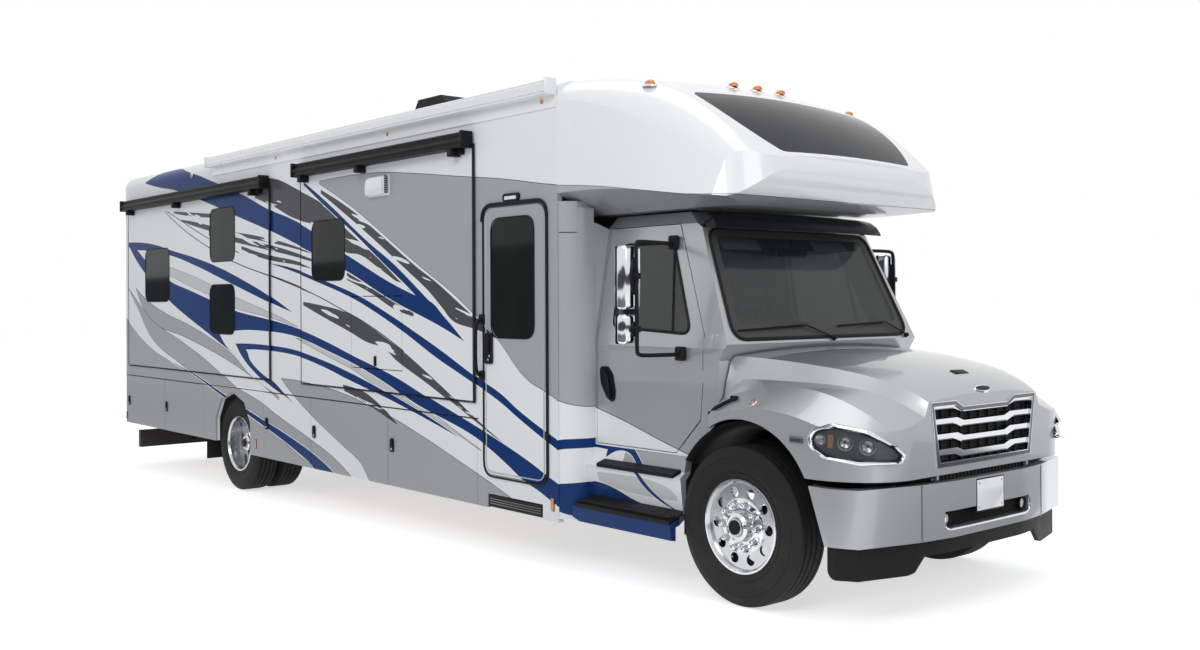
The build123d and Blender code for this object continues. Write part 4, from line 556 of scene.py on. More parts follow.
BLUE_SWEEPS = {
    "upper": ([(-9.9, 3.42), (-9.4, 3.33), (-8.97, 3.271), (-8.06, 3.078), (-7.2, 2.865), (-6.38, 2.665),
               (-5.44, 2.405), (-4.76, 2.215), (-3.96, 1.943), (-3.14, 1.708), (-2.84, 1.606)],
              [(-9.9, 3.43), (-9.2, 3.54), (-8.4, 3.42), (-7.82, 3.281), (-7.0, 3.073), (-6.37, 2.877),
               (-5.79, 2.728), (-4.76, 2.364), (-3.59, 1.985), (-3.37, 1.94), (-3.14, 1.809),
               (-2.84, 1.606)]),
    "diagonal": ([(-5.6, 3.07), (-5.16, 2.834), (-4.6, 2.547), (-4.12, 2.282), (-3.59, 1.994), (-3.3, 1.80)],
                 [(-5.6, 3.10), (-5.13, 2.872), (-4.38, 2.475), (-3.91, 2.25), (-3.59, 2.07), (-3.3, 1.90)]),
    "rising_line": ([(-6.38, 2.324), (-5.9, 2.24), (-5.43, 2.141), (-4.64, 1.959), (-4.28, 1.849),
                     (-3.76, 1.666), (-3.24, 1.46), (-2.72, 1.28), (-2.36, 1.147), (-2.13, 1.041),
                     (-1.66, 0.843)],
                    [(-6.38, 2.326), (-5.9, 2.27), (-5.43, 2.178), (-4.55, 1.987), (-3.96, 1.803),
                     (-3.61, 1.681), (-3.15, 1.513), (-2.72, 1.344), (-2.36, 1.215), (-2.13, 1.102),
                     (-1.66, 0.915)]),
    "corner_line": ([(-1.66, 0.843), (-1.60, 0.855), (-1.38, 0.855)],
                    [(-1.66, 0.915), (-1.60, 0.925), (-1.38, 0.925)]),
    "curl": ([(-1.38, 0.80), (-1.2, 0.86), (-1.02, 0.76), (-0.93, 0.655), (-0.80, 0.575), (-0.60, 0.507)],
             [(-1.38, 0.925), (-1.22, 0.925), (-1.02, 0.82), (-0.93, 0.71), (-0.80, 0.60), (-0.60, 0.51)]),
    "loop_top": ([(-10.49, 2.69), (-10.30, 2.60), (-10.15, 2.592), (-9.86, 2.578), (-9.03, 2.489),
                  (-8.29, 2.351), (-7.56, 2.189), (-6.97, 2.057), (-6.38, 1.926), (-5.88, 1.826)],
                 [(-10.49, 2.702), (-9.99, 2.682), (-9.52, 2.635), (-9.03, 2.553), (-8.29, 2.439),
                  (-7.56, 2.299), (-6.97, 2.155), (-6.53, 2.037), (-5.88, 1.826)]),
    "loop_arm": ([(-10.49, 2.702), (-10.23, 2.497), (-9.86, 2.285), (-9.03, 1.93), (-8.47, 1.743),
                  (-7.86, 1.559), (-7.61, 1.48)],
                 [(-10.49, 2.704), (-10.15, 2.592), (-9.86, 2.457), (-9.03, 2.177), (-8.47, 2.071),
                  (-7.86, 1.954), (-7.61, 1.905)]),
    "tail": ([(-7.61, 1.48), (-7.17, 1.35)], [(-7.61, 1.572), (-7.45, 1.455), (-7.17, 1.352)]),
    "long": ([(-7.61, 1.572), (-7.21, 1.621), (-6.35, 1.625), (-5.77, 1.583), (-5.11, 1.462), (-4.56, 1.345),
              (-4.0, 1.193), (-3.62, 1.069), (-2.77, 0.868), (-2.55, 0.793), (-2.28, 0.677), (-2.06, 0.573),
              (-1.88, 0.515), (-1.66, 0.435), (-1.64, 0.43)],
             [(-7.61, 1.905), (-7.21, 1.836), (-6.34, 1.743), (-5.77, 1.668), (-5.11, 1.541), (-4.64, 1.433),
              (-3.94, 1.282), (-3.43, 1.139), (-2.77, 0.957), (-2.36, 0.841), (-1.98, 0.719), (-1.66, 0.60),
              (-1.64, 0.595)]),
    "low_loop": ([(-7.2, 1.482), (-7.0, 1.43), (-6.68, 1.433), (-6.35, 1.428), (-5.84, 1.401), (-5.26, 1.318),
                  (-4.79, 1.223), (-4.23, 1.113), (-3.79, 1.022), (-2.95, 0.832)],
                 [(-7.2, 1.484), (-6.83, 1.49), (-6.35, 1.482), (-5.84, 1.454), (-5.26, 1.377),
                  (-4.79, 1.294), (-4.21, 1.169), (-3.87, 1.087), (-3.48, 0.988), (-2.95, 0.834)]),
    "low_leg": ([(-7.2, 1.484), (-7.02, 1.338), (-6.68, 1.173), (-6.36, 1.062), (-5.94, 0.949),
                 (-5.71, 0.856)],
                [(-7.2, 1.486), (-6.94, 1.427), (-6.83, 1.312), (-6.53, 1.18), (-6.32, 1.119), (-6.08, 1.016),
                 (-5.71, 0.858)]),
    "bottom": ([(-9.04, 1.216), (-8.48, 1.115), (-7.54, 0.883), (-6.61, 0.66), (-6.22, 0.565), (-5.59, 0.385),
                (-5.2, 0.25), (-4.9, 0.25)],
               [(-9.04, 1.219), (-8.48, 1.129), (-7.54, 0.917), (-6.61, 0.716), (-6.15, 0.625), (-5.3, 0.413),
                (-4.9, 0.25)]),
}
BLACK_LINES = {
    "skirt_seam": ([(-10.6, 1.0), (-2.66, 1.0)], 0.008),
    "long_thin": ([(-9.22, 3.031), (-8.65, 2.79), (-7.85, 2.529), (-7.2, 2.357), (-6.34, 2.192),
                   (-5.44, 2.013)], 0.011),
    "rear_thin": ([(-9.14, 3.026), (-8.69, 2.882), (-7.85, 2.632), (-7.1, 2.46)], 0.010),
    "over_blade": ([(-6.6, 2.239), (-6.07, 2.15), (-5.48, 2.022), (-4.78, 1.84), (-4.39, 1.73),
                    (-3.76, 1.50)], 0.010),
}
print("sweeps", sum(map(len, (GREY_SWEEPS, PALE_SWEEPS, CHARCOAL_SWEEPS, BLUE_SWEEPS, BLACK_LINES))))

# %% [markdown]
# Each painted piece gets a finish of its own, because its layers differ: the coach takes every
# sweep, the rear one band, the cab metallic flakes and the cap a silver lip. Layers go from the
# widest colour to the thinnest line, each with its edge line under it.

# %% Colours of the paint
WHITE = (0.85, 0.86, 0.87)
GREY = (0.40, 0.41, 0.415)
PALE = (0.60, 0.61, 0.61)
CHARCOAL = (0.085, 0.085, 0.09)
BLUE = (0.008, 0.040, 0.165)
INK = (0.02, 0.02, 0.022)


def make_coach_paint():
    """White gelcoat with the sweeps on both flanks."""
    f = Finish("coach_side_paint")
    x, y, z = f.level()
    flank = (y.size() > 1.262).or_more((z > 3.25).or_more(x > -1.72) * (y.size() > 1.16))
    cloud = f.noise(0.8, 3.0)
    colour = f.mix(cloud * 0.35, WHITE, tuple(c * 0.93 for c in WHITE))
    for low, high in GREY_SWEEPS.values():
        colour = f.mix(sweep(f, x, z, low, high, lip=0.005) * flank, colour, INK)
        colour = f.mix(sweep(f, x, z, low, high) * flank, colour, GREY)
    for low, high in PALE_SWEEPS.values():
        colour = f.mix(sweep(f, x, z, low, high, lip=0.004) * flank, colour, CHARCOAL)
        colour = f.mix(sweep(f, x, z, low, high) * flank, colour, PALE)
    along = f.node("ShaderNodeMapping", {}, {"Vector": f.place(), "Rotation": (0, radians(-14), 0)})
    fingers = f.noise(1.6, 2.0, 0.5, stretch=(1.0, 0.0, 9.0), at=along)
    fray = ((fingers - 0.59) * 3.0).or_more(0.0).or_less(0.13)
    for low, high in CHARCOAL_SWEEPS.values():
        colour = f.mix(sweep(f, x, z, low, high, fray) * flank, colour, CHARCOAL)
    for low, high in BLUE_SWEEPS.values():
        colour = f.mix(sweep(f, x, z, low, high, lip=0.008) * flank, colour, WHITE)
    for low, high in BLUE_SWEEPS.values():
        colour = f.mix(sweep(f, x, z, low, high) * flank, colour, BLUE)
    for points, width in BLACK_LINES.values():
        colour = f.mix(pinstripe(f, x, z, points, width) * flank, colour, INK)
    return f.set(Base_Color=grime(f, colour, most=0.06), Roughness=cloud * 0.08 + 0.20,
                 Specular_IOR_Level=0.06, Normal=orange_peel(f))


def make_gelcoat():
    """Plain white moulded glass fibre for the awning case and small fittings."""
    f = Finish("white_gelcoat")
    cloud = f.noise(0.9, 3.0)
    return f.set(Base_Color=grime(f, f.mix(cloud * 0.4, WHITE, tuple(c * 0.92 for c in WHITE)), most=0.12),
                 Roughness=cloud * 0.08 + 0.24, Coat_Weight=0.6, Coat_Roughness=0.05, Normal=orange_peel(f))


def make_rear_paint():
    """The rear wall: white, a grey lower part and one blue band across."""
    f = Finish("rear_wall_paint")
    x, y, z = f.level()
    cloud = f.noise(0.9, 3.0)
    colour = f.mix(cloud * 0.4, WHITE, tuple(c * 0.93 for c in WHITE))
    dip = y * y * 0.10
    colour = f.mix((z < 1.52 + dip), colour, BLUE)
    colour = f.mix((z < 1.44 + dip), colour, WHITE)
    colour = f.mix((z < 1.42 + dip), colour, GREY)
    return f.set(Base_Color=grime(f, colour, most=0.2), Roughness=cloud * 0.08 + 0.24, Coat_Weight=0.6,
                 Coat_Roughness=0.05, Normal=orange_peel(f))


WEDGE = ([(-1.6, 0.2), (-0.35, 0.2)], [(-1.6, 1.17), (-1.5, 1.145), (-1.2, 1.07), (-0.85, 0.97),
                                       (-0.53, 0.885), (-0.35, 0.84)])
SILVER = (0.41, 0.425, 0.43)
# The near-black below is painted shade on faces that look down, and also the black of the wheel arch's
# reveal.
SHADE_AND_ARCH_BLACK = (0.010, 0.010, 0.011)
ARCH = (0.030, 0.595, 0.5885)


def make_silver_paint():
    """Metallic silver over the truck's cab and hood, with a white wedge low on the doors; low at the front,
    faces that look down are painted near-black as painted shade, and the wheel arch's reveal is painted
    black.
    """
    f = Finish("cab_silver_paint")
    x, y, z = f.level()
    flake = f.node("ShaderNodeTexVoronoi", {}, {"Vector": f.place(), "Scale": 1900.0}, output="Color")
    glint = f.node("ShaderNodeSeparateColor", {}, {0: flake}, output=0)
    cloud = f.noise(1.2, 3.0)
    low, high = WEDGE
    edge = sweep(f, x, z, low, high, lip=0.006)
    inside = sweep(f, x, z, low, high)
    silver = f.mix(glint * 0.25 + cloud * 0.15, SILVER, (0.52, 0.535, 0.54))
    colour = f.mix(inside, f.mix(edge, silver, INK), WHITE)
    # Painted shade: low at the front, faces that look down go near-black, together with the black reveal of
    # the wheel arch.
    facing = f.node("ShaderNodeVectorTransform", {"vector_type": "NORMAL", "convert_from": "WORLD",
                                                  "convert_to": "OBJECT"},
                    {0: f.node("ShaderNodeNewGeometry", output="True Normal")})
    downward = f.node("ShaderNodeSeparateXYZ", inputs={0: facing}, output=2) < -0.5
    along, over = x - ARCH[0], z - ARCH[1]
    reveal = (along * along + over * over < ARCH[2] * ARCH[2]) * (z > 0.45)
    underside_shade_and_arch = downward.or_more(reveal) * (x > -0.62) * (z < 1.42) * (y.size() < 1.235)
    colour = f.mix(underside_shade_and_arch, colour, SHADE_AND_ARCH_BLACK)
    return f.set(Base_Color=grime(f, colour, most=0.12), Metallic=(1.0 - edge.or_more(underside_shade_and_arch)) * 0.55,
                 Roughness=cloud * 0.08 + 0.30, Coat_Weight=0.8, Coat_Roughness=0.03,
                 Normal=orange_peel(f, 0.02))


CAP_EDGE = [(-1.70, 2.775), (-1.24, 2.735), (-0.71, 2.665), (-0.33, 2.618), (0.10, 2.606)]


def make_cap_paint():
    """White gelcoat over the cab, with a silver band where its lip turns in."""
    f = Finish("cap_paint")
    x, y, z = f.level()
    cloud = f.noise(0.9, 3.0)
    white = f.mix(cloud * 0.35, WHITE, tuple(c * 0.93 for c in WHITE))
    edge = curve_height(f, x, CAP_EDGE, ((-1.70, 0.10), (2.50, 2.90)))
    colour = f.mix(z < edge, white, INK)
    below = z < edge - 0.004
    colour = f.mix(below, colour, GREY)
    return f.set(Base_Color=colour, Metallic=below * 0.35, Roughness=cloud * 0.08 + 0.24, Coat_Weight=0.6,
                 Coat_Roughness=0.05, Normal=orange_peel(f))


STEP_WHITE = ([(-1.70, 0.2), (-0.40, 0.2)], [(-1.70, 1.215), (-1.54, 1.165), (-1.30, 1.10), (-0.40, 0.86)])
STEP_SILVER = ([(-1.20, 0.775), (-0.40, 0.775)], [(-1.20, 0.86), (-1.10, 0.96), (-0.40, 0.96)])
# The pale patch under the upper step is painted shade.
STEP_SHADE_POCKET = ([(-1.40, 0.67), (-1.33, 0.615), (-1.0, 0.585), (-0.60, 0.585)],
               [(-1.40, 0.70), (-1.2, 0.705), (-0.85, 0.70), (-0.60, 0.61)])
STEP_BLUE = ([(-1.70, 0.415), (-1.654, 0.398), (-1.44, 0.325), (-1.40, 0.2), (-0.40, 0.2)],
             [(-1.70, 0.595), (-1.50, 0.615), (-1.43, 0.625), (-0.91, 0.514), (-0.40, 0.505)])


def make_fairing_paint():
    """The step fairings: silver, white low down, a pale grey patch under the upper step as painted shade, and
    the blue sweeps running on to the lower step.
    """
    f = Finish("step_fairing_paint")
    x, y, z = f.level()
    cloud = f.noise(1.2, 3.0)
    colour = f.mix(cloud * 0.3, SILVER, (0.47, 0.485, 0.49))
    colour = f.mix(sweep(f, x, z, *STEP_WHITE, lip=0.005), colour, INK)
    colour = f.mix(sweep(f, x, z, *STEP_WHITE), colour, WHITE)
    colour = f.mix(sweep(f, x, z, *STEP_SILVER) * (x > -1.19), colour, SILVER)
    # Painted shade: a pale grey patch just under the upper step.
    colour = f.mix(sweep(f, x, z, *STEP_SHADE_POCKET), colour, PALE)
    for low, high in (STEP_BLUE, BLUE_SWEEPS["corner_line"], BLUE_SWEEPS["curl"]):
        colour = f.mix(sweep(f, x, z, low, high, lip=0.006), colour, WHITE)
    for low, high in (STEP_BLUE, BLUE_SWEEPS["corner_line"], BLUE_SWEEPS["curl"]):
        colour = f.mix(sweep(f, x, z, low, high), colour, BLUE)
    return f.set(Base_Color=grime(f, colour, most=0.08), Roughness=cloud * 0.08 + 0.24,
                 Specular_IOR_Level=0.10, Normal=orange_peel(f, 0.02))


print("paint colours", WHITE, GREY, BLUE)

# %% [markdown]
# ## Finishes on the CAD nodes
# Every CAD node keeps its shape and takes a finish in its own material slots. The table says
# which one; what stays visible of a node always has a finish with detail of its own.

# %% Assign the finishes
chrome, dark_chrome, alloy = make_chrome(), make_dark_chrome(), make_polished_alloy()
chassis_black, cast_metal = make_chassis_black(), make_cast_metal()
rubber, black_plastic, seal = make_tyre(), make_black_plastic(), make_rubber_seal()
floor_vinyl = make_floor_board()
clear_glass = make_clear_glass("clear_cab_glass", (0.020, 0.026, 0.028), clear=0.46)
side_glass = make_clear_glass("tinted_door_glass", (0.020, 0.023, 0.024), clear=0.74)
lens_glass = make_clear_glass("clear_lamp_glass", (0.10, 0.105, 0.11), clear=0.30)
dark_glass = make_dark_glass("dark_tinted_glass", (0.010, 0.011, 0.011))
black_glass = make_dark_glass("black_cap_glass", (0.008, 0.009, 0.011))
coach_paint, gelcoat = make_coach_paint(), make_gelcoat()
rear_paint, silver = make_rear_paint(), make_silver_paint()
amber, red = make_lens("amber_lens", (0.75, 0.22, 0.02)), make_lens("red_lens", (0.50, 0.02, 0.02))
white_lens = make_lens("white_lens", (0.80, 0.80, 0.78))
frit = make_leather("ceramic_frit", (0.030, 0.029, 0.030))
seat_leather = make_leather("grey_seat_leather", (0.16, 0.155, 0.15))
visor_cloth = make_leather("pale_visor_vinyl", (0.42, 0.43, 0.43))
FINISH_OF = {
    "chassis_black": chassis_black, "cast_metal": cast_metal, "tyre": rubber, "polished_alloy": alloy,
    "silver_paint": silver, "coach_paint": coach_paint, "roof_white": gelcoat, "glass": clear_glass,
    "tinted_glass": dark_glass, "black_glass": black_glass, "lamp_glass": lens_glass, "chrome": chrome,
    "black_plastic": black_plastic, "seat_fabric": seat_leather, "floor_board": floor_vinyl,
}
cap_paint, fairing_paint = make_cap_paint(), make_fairing_paint()
SPECIAL = {"rear_wall": rear_paint, "coach_roof": coach_paint, "front_cap": cap_paint,
           "cab_fairings": fairing_paint, "cab_glass_left": side_glass, "cab_glass_right": side_glass}
for part in frame["record"]["subparts"]:
    node = frame["nodes"][part["node"]]
    finish = SPECIAL.get(part["node"], FINISH_OF[part["material_slot"]])
    node.data.materials.clear()
    node.data.materials.append(finish)

# %% [markdown]
# ## Making pieces
# Every new piece is drawn level, in millimetres, as a bmesh. place_piece sets it in the frame,
# smooths it by angle, and tells the frame what it rides on. A few small helpers make the
# shapes that come again and again: a rounded block, a tube along a path and a spun profile.

# %% Helpers for pieces
def place_piece(name, bm, body, finish, smooth=35.0, subdivide=0):
    """Turns a level bmesh, in millimetres, into a piece of the frame."""
    bmesh.ops.remove_doubles(bm, verts=bm.verts, dist=0.01)
    bmesh.ops.recalc_face_normals(bm, faces=bm.faces)
    bmesh.ops.transform(bm, matrix=STANCE, verts=bm.verts)
    for face in bm.faces:
        face.smooth = True
    mesh = bpy.data.meshes.new(name)
    bm.to_mesh(mesh)
    bm.free()
    mesh.set_sharp_from_angle(angle=radians(smooth))
    made = bpy.data.objects.new(name, mesh)
    bpy.context.collection.objects.link(made)
    finishes = finish if isinstance(finish, (list, tuple)) else [finish]
    for one in finishes:
        mesh.materials.append(one)
    if subdivide:
        rounder = made.modifiers.new("rounding", "SUBSURF")
        rounder.levels = rounder.render_levels = subdivide
    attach(made, body)
    return made


def add_block(bm, x, y, z, round_by=0.0, segments=2, turn=None):
    """A block between pairs of x, y and z, with its edges rounded."""
    made = bmesh.ops.create_cube(bm, size=1.0)["verts"]
    centre = Vector(((x[0] + x[1]) / 2, (y[0] + y[1]) / 2, (z[0] + z[1]) / 2))
    bmesh.ops.scale(bm, vec=(abs(x[1] - x[0]), abs(y[1] - y[0]), abs(z[1] - z[0])), verts=made)
    if round_by:
        edges = list({e for v in made for e in v.link_edges})
        done = bmesh.ops.bevel(bm, geom=edges, offset=round_by, segments=segments, affect="EDGES",
                               profile=0.5, material=-1)
        made = list({v for f in done["faces"] for v in f.verts} | {v for v in made if v.is_valid})
    if turn is not None:
        bmesh.ops.rotate(bm, cent=(0, 0, 0), matrix=turn, verts=made)
    bmesh.ops.translate(bm, vec=centre, verts=made)
    return made


def turn_to(bm, verts, axis, place, rest=(0, 0, 1)):
    """Turns points about the origin, from the direction rest to axis, and moves them to place."""
    turn = Vector(rest).rotation_difference(Vector(axis)).to_matrix()
    bmesh.ops.rotate(bm, cent=(0, 0, 0), matrix=turn, verts=verts)
    bmesh.ops.translate(bm, vec=place, verts=verts)


def add_disc(bm, centre, axis, radius, depth, segments=24, narrow=1.0, round_by=0.0):
    """A round plug: its back at centre, its front depth along axis."""
    made = bmesh.ops.create_cone(bm, cap_ends=True, segments=segments, radius1=radius,
                                 radius2=radius * narrow, depth=depth)["verts"]
    if round_by:
        top = max(v.co.z for v in made)
        edges = {e for v in made for e in v.link_edges}
        rim = [e for e in edges if all(abs(v.co.z - top) < 1e-4 for v in e.verts)]
        done = bmesh.ops.bevel(bm, geom=rim, offset=round_by, segments=2, affect="EDGES", profile=0.5,
                               material=-1)
        made = list({v for v in made if v.is_valid} | {v for f in done["faces"] for v in f.verts})
    bmesh.ops.translate(bm, vec=(0, 0, depth / 2), verts=made)
    turn_to(bm, made, axis, centre)
    return made


def verts_in(geom):
    """The corner points among what an operator gives back."""
    return [g for g in geom if isinstance(g, bmesh.types.BMVert)]


def pull(bm, faces, way, keep=True):
    """Draws faces out along way, so that they get a back; gives the points that moved."""
    moved = verts_in(bmesh.ops.extrude_face_region(bm, geom=faces, use_keep_orig=keep)["geom"])
    bmesh.ops.translate(bm, vec=way, verts=moved)
    return moved


def span(side, near, far):
    """The two Y values of a block on one side of the body, the lower one first."""
    return tuple(sorted((side * near, side * far)))


def add_ring(bm, centre, axis, profile, segments=48):
    """Spins a closed profile of (radius, height along axis) points round an axis at centre."""
    made = [bm.verts.new((r, 0, h)) for r, h in profile]
    edges = [bm.edges.new((made[i], made[(i + 1) % len(made)])) for i in range(len(made))]
    spun = bmesh.ops.spin(bm, geom=made + edges, cent=(0, 0, 0), axis=(0, 0, 1), dvec=(0, 0, 0),
                          angle=2 * pi, steps=segments, use_merge=True, use_duplicate=False)
    every = list({v for e in edges if e.is_valid for v in e.verts} | {v for v in made if v.is_valid}
                 | set(verts_in(spun["geom_last"])))
    island = set(every)
    grow = list(island)
    while grow:
        vert = grow.pop()
        for edge in vert.link_edges:
            other = edge.other_vert(vert)
            if other not in island:
                island.add(other)
                grow.append(other)
    made = list(island)
    turn_to(bm, made, axis, centre)
    return made


def add_tube(bm, points, radius, sides=10, closed=False):
    """A round tube through points, made as a bevelled curve and taken over as a mesh."""
    curve = bpy.data.curves.new("path", "CURVE")
    curve.dimensions, curve.bevel_depth, curve.use_fill_caps = "3D", radius, not closed
    curve.bevel_resolution = (sides - 4) // 2
    line = curve.splines.new("POLY")
    line.points.add(len(points) - 1)
    for point, place in zip(line.points, points):
        point.co = (*place, 1.0)
    line.use_cyclic_u = closed
    holder = bpy.data.objects.new("path", curve)
    mesh = bpy.data.meshes.new_from_object(holder)
    first = len(bm.verts)
    bm.from_mesh(mesh)
    bpy.data.objects.remove(holder)
    bpy.data.curves.remove(curve)
    bpy.data.meshes.remove(mesh)
    bm.verts.ensure_lookup_table()
    return list(bm.verts)[first:]


def rounded_outline(corners, radius, steps=6):
    """The corners of a flat outline, each replaced by an arc of that radius."""
    out = []
    corners = [Vector(c) for c in corners]
    for i, corner in enumerate(corners):
        a, b = corners[i - 1] - corner, corners[(i + 1) % len(corners)] - corner
        r = radius[i] if isinstance(radius, (list, tuple)) else radius
        half = a.angle(b) / 2
        reach = min(r / max(0.05, abs(sin(half) / cos(half))), a.length * 0.49, b.length * 0.49)
        start, end = corner + a.normalized() * reach, corner + b.normalized() * reach
        for k in range(steps + 1):
            t = k / steps
            out.append(start * (1 - t) ** 2 + corner * 2 * t * (1 - t) + end * t * t)
    return out


def soften(points, rounds=2):
    """Cuts the corners of an open path, so that a tube bends round them."""
    points = [Vector(p) for p in points]
    for _ in range(rounds):
        cut = [points[0]]
        for a, b in zip(points, points[1:]):
            cut += [a * 0.75 + b * 0.25, a * 0.25 + b * 0.75]
        points = cut + [points[-1]]
    return points


print("helpers are ready")

# %% [markdown]
# ## Tyres
# A truck tyre shows three things: a tall smooth shoulder, raised rings on the sidewall, and a
# tread with straight grooves. The section is spun once; the front tyres keep plain ribs, and the
# rear pairs get short bars across their outer grooves. They stand for the plain CAD tyres.

# %% A spun tyre
TYRE_W, TREAD_W, BEAD_R = 275.0, 216.0, 286.0
SECTION = [(BEAD_R, 82), (300, 108), (318, 118), (330, 124), (333, 129), (340, 129), (343, 125), (372, 135),
           (398, 137.5), (402, 136), (405, 137.5), (430, 135), (434, 131), (438, 133), (455, 128), (470, 120),
           (486, 114), (497, 110), (502, 104)]
GROOVES = (-72.0, -25.0, 25.0, 72.0)


def tread_line():
    """Half-section points across the tread from one shoulder to the other, grooves included."""
    line = []
    for centre in GROOVES:
        line += [(TYRE_R - 0.6, centre - 6.5), (TYRE_R - 16, centre - 4), (TYRE_R - 16, centre + 4),
                 (TYRE_R - 0.6, centre + 6.5)]
    return line


def spin_tyre(bm, x, y, z):
    """One tyre centred at y on an axle at (x, z)."""
    half = list(SECTION)
    tread = sorted(tread_line(), key=lambda point: -point[1])
    profile = half + tread + [(r, -w) for r, w in reversed(half)] + [(BEAD_R - 1.2, -78), (BEAD_R - 1.2, 78)]
    add_ring(bm, (x, y, z), (0, 1, 0), profile, 96)


WHEELS = {  # body: node, axle x and z, centres of its tyres, and the disc's face and side
    "front_wheel_right": ("front_tyre_right", 0.0, FRONT_AXLE_Z, (-1038.0,), -1126.0, -1),
    "front_wheel_left": ("front_tyre_left", 0.0, FRONT_AXLE_Z, (1038.0,), 1126.0, 1),
    "rear_wheels_right": ("rear_tyres_right", -WHEELBASE, REAR_AXLE_Z, (-1082.5, -769.5), -1004.5, -1),
    "rear_wheels_left": ("rear_tyres_left", -WHEELBASE, REAR_AXLE_Z, (1082.5, 769.5), 1004.5, 1),
}


def add_lugs(bm, x, y, z):
    """Short rubber bars that cross the outer grooves of a drive tyre."""
    for k in range(48):
        for side in (-1, 1):
            made = add_block(bm, (-7, 7), (side * 72 - 8, side * 72 + 8), (TYRE_R - 18, TYRE_R - 1.5))
            bmesh.ops.rotate(bm, cent=(0, 0, 0), matrix=Matrix.Rotation(2 * pi * k / 48, 3, "Y"), verts=made)
            bmesh.ops.translate(bm, vec=(x, y, z), verts=made)


for body, (node, x, z, centres, face_y, side) in WHEELS.items():
    bm = bmesh.new()
    for y in centres:
        spin_tyre(bm, x, y, z)
        if x:
            add_lugs(bm, x, y, z)
    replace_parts(place_piece(node + "_treaded", bm, body, rubber, smooth=28), node)
print("tyres", len(WHEELS))

# %% [markdown]
# ## Wheel trim
# The forged wheels stay as they are. Each one gets a chromed cover plate over its studs, ten
# tall nut covers on it, a bright bead round the rim's lip and a cap with an oil window.

# %% Wheel trim
STUD_CIRCLE_R, STUDS = 143.0, 10
RIM_OUT, FRONT_HUB_OUT, REAR_HUB_OUT, CAP_OUT = 117.0, 52.5, 110.5, 21.8


def add_wheel_trim(bm, x, z, face_y, side):
    """Cover plate, ten nut covers and the hub's rings on a disc's outer face."""
    out = (0, side, 0)
    add_ring(bm, (x, face_y, z), out, [(96, 0.3), (96, 7), (166, 5), (176, 0.3)], 60)
    for k in range(STUDS):
        a = 2 * pi * k / STUDS
        px, pz = x + STUD_CIRCLE_R * cos(a), z + STUD_CIRCLE_R * sin(a)
        add_ring(bm, (px, face_y + side * 5.5, pz), out,
                 [(0.01, 0), (29, 0), (29, 4), (24, 8), (22.5, 12), (18, 44), (13, 52), (0.01, 55)], 16)


for body, (node, x, z, centres, face_y, side) in WHEELS.items():
    bm = bmesh.new()
    add_wheel_trim(bm, x, z, face_y, side)
    rim_y = centres[0] + side * RIM_OUT
    add_ring(bm, (x, rim_y, z), (0, side, 0), [(285, -3), (288, 1.4), (296, 1.4), (299.5, -3), (299.5, -9),
                                               (292, -6)], 72)
    hub_face = face_y + side * (REAR_HUB_OUT if x else FRONT_HUB_OUT)
    add_ring(bm, (x, hub_face, z), (0, side, 0), [(60, 0), (60, 10), (72, 14), (88, 3), (88, -4), (62, -4)],
             48)
    place_piece(body + "_trim", bm, body, chrome, smooth=30)
    bm = bmesh.new()
    cap_face = hub_face + side * CAP_OUT
    add_ring(bm, (x, cap_face, z), (0, side, 0), [(0.01, 0), (46, 0), (46, 5), (38, 9), (34, 5), (24, 5),
                                                  (20, 8), (0.01, 8)], 40)
    place_piece(body + "_oil_cap", bm, body, black_plastic, smooth=30)
print("wheel trim on", len(WHEELS), "wheels")

# %% [markdown]
# ## Landing on the CAD surface
# Trim has to sit on a surface that CAD lofted, and no formula gives its height. A ray can: it
# starts outside, runs inwards and stops where it meets the nodes. frame_ring makes the flat
# frames of windows and seals by insetting one face and pulling the border out.

# %% Rays and frames
from mathutils.bvhtree import BVHTree
LOOKUP = {}
BACK = STANCE.inverted()


def landing(nodes, start, way):
    """Where a ray from start along way, in level millimetres, meets one of the nodes."""
    hits = []
    for name in nodes:
        if name not in LOOKUP:
            mesh = frame["nodes"][name].data
            LOOKUP[name] = BVHTree.FromPolygons([v.co for v in mesh.vertices],
                                                [p.vertices for p in mesh.polygons])
        origin, aim = STANCE @ Vector(start), (STANCE.to_3x3() @ Vector(way)).normalized()
        place, normal, index, distance = LOOKUP[name].ray_cast(origin, aim)
        if place is not None:
            hits.append((distance, BACK @ place, (BACK.to_3x3() @ normal).normalized()))
    if not hits:
        return None, None
    distance, place, normal = min(hits, key=lambda hit: hit[0])
    return place, normal if normal.dot(Vector(way)) < 0 else -normal


def frame_ring(bm, outline, y, width, depth):
    """A flat frame inside an outline of (x, z) points at y: width wide, depth along y."""
    face = bm.faces.new([bm.verts.new((x, y, z)) for x, z in outline])
    ring = bmesh.ops.inset_region(bm, faces=[face], thickness=width, use_even_offset=True)["faces"]
    bmesh.ops.delete(bm, geom=[face], context="FACES_ONLY")
    return list(set(pull(bm, ring, (0, depth, 0))) | {v for f in ring for v in f.verts})


def rectangle(rear, front, bottom, top, radius, grow=0.0, steps=5):
    """A rectangle of (x, z) points in side view with round corners, grown by a margin."""
    corners = [(rear - grow, bottom - grow), (front + grow, bottom - grow), (front + grow, top + grow),
               (rear - grow, top + grow)]
    return [tuple(p) for p in rounded_outline([Vector(c) for c in corners], radius + grow, steps)]


print("landing and frames are ready")

# %% [markdown]
# ## The front end
# The grille's bars and surround are CAD. Behind them belong a black louvred screen, and round
# the lamps a bright bezel with the lamp's own parts under a smoky cover. The lamp's outline is
# flat in the drawing and the fender is not, so each point of it is sent in by a ray.

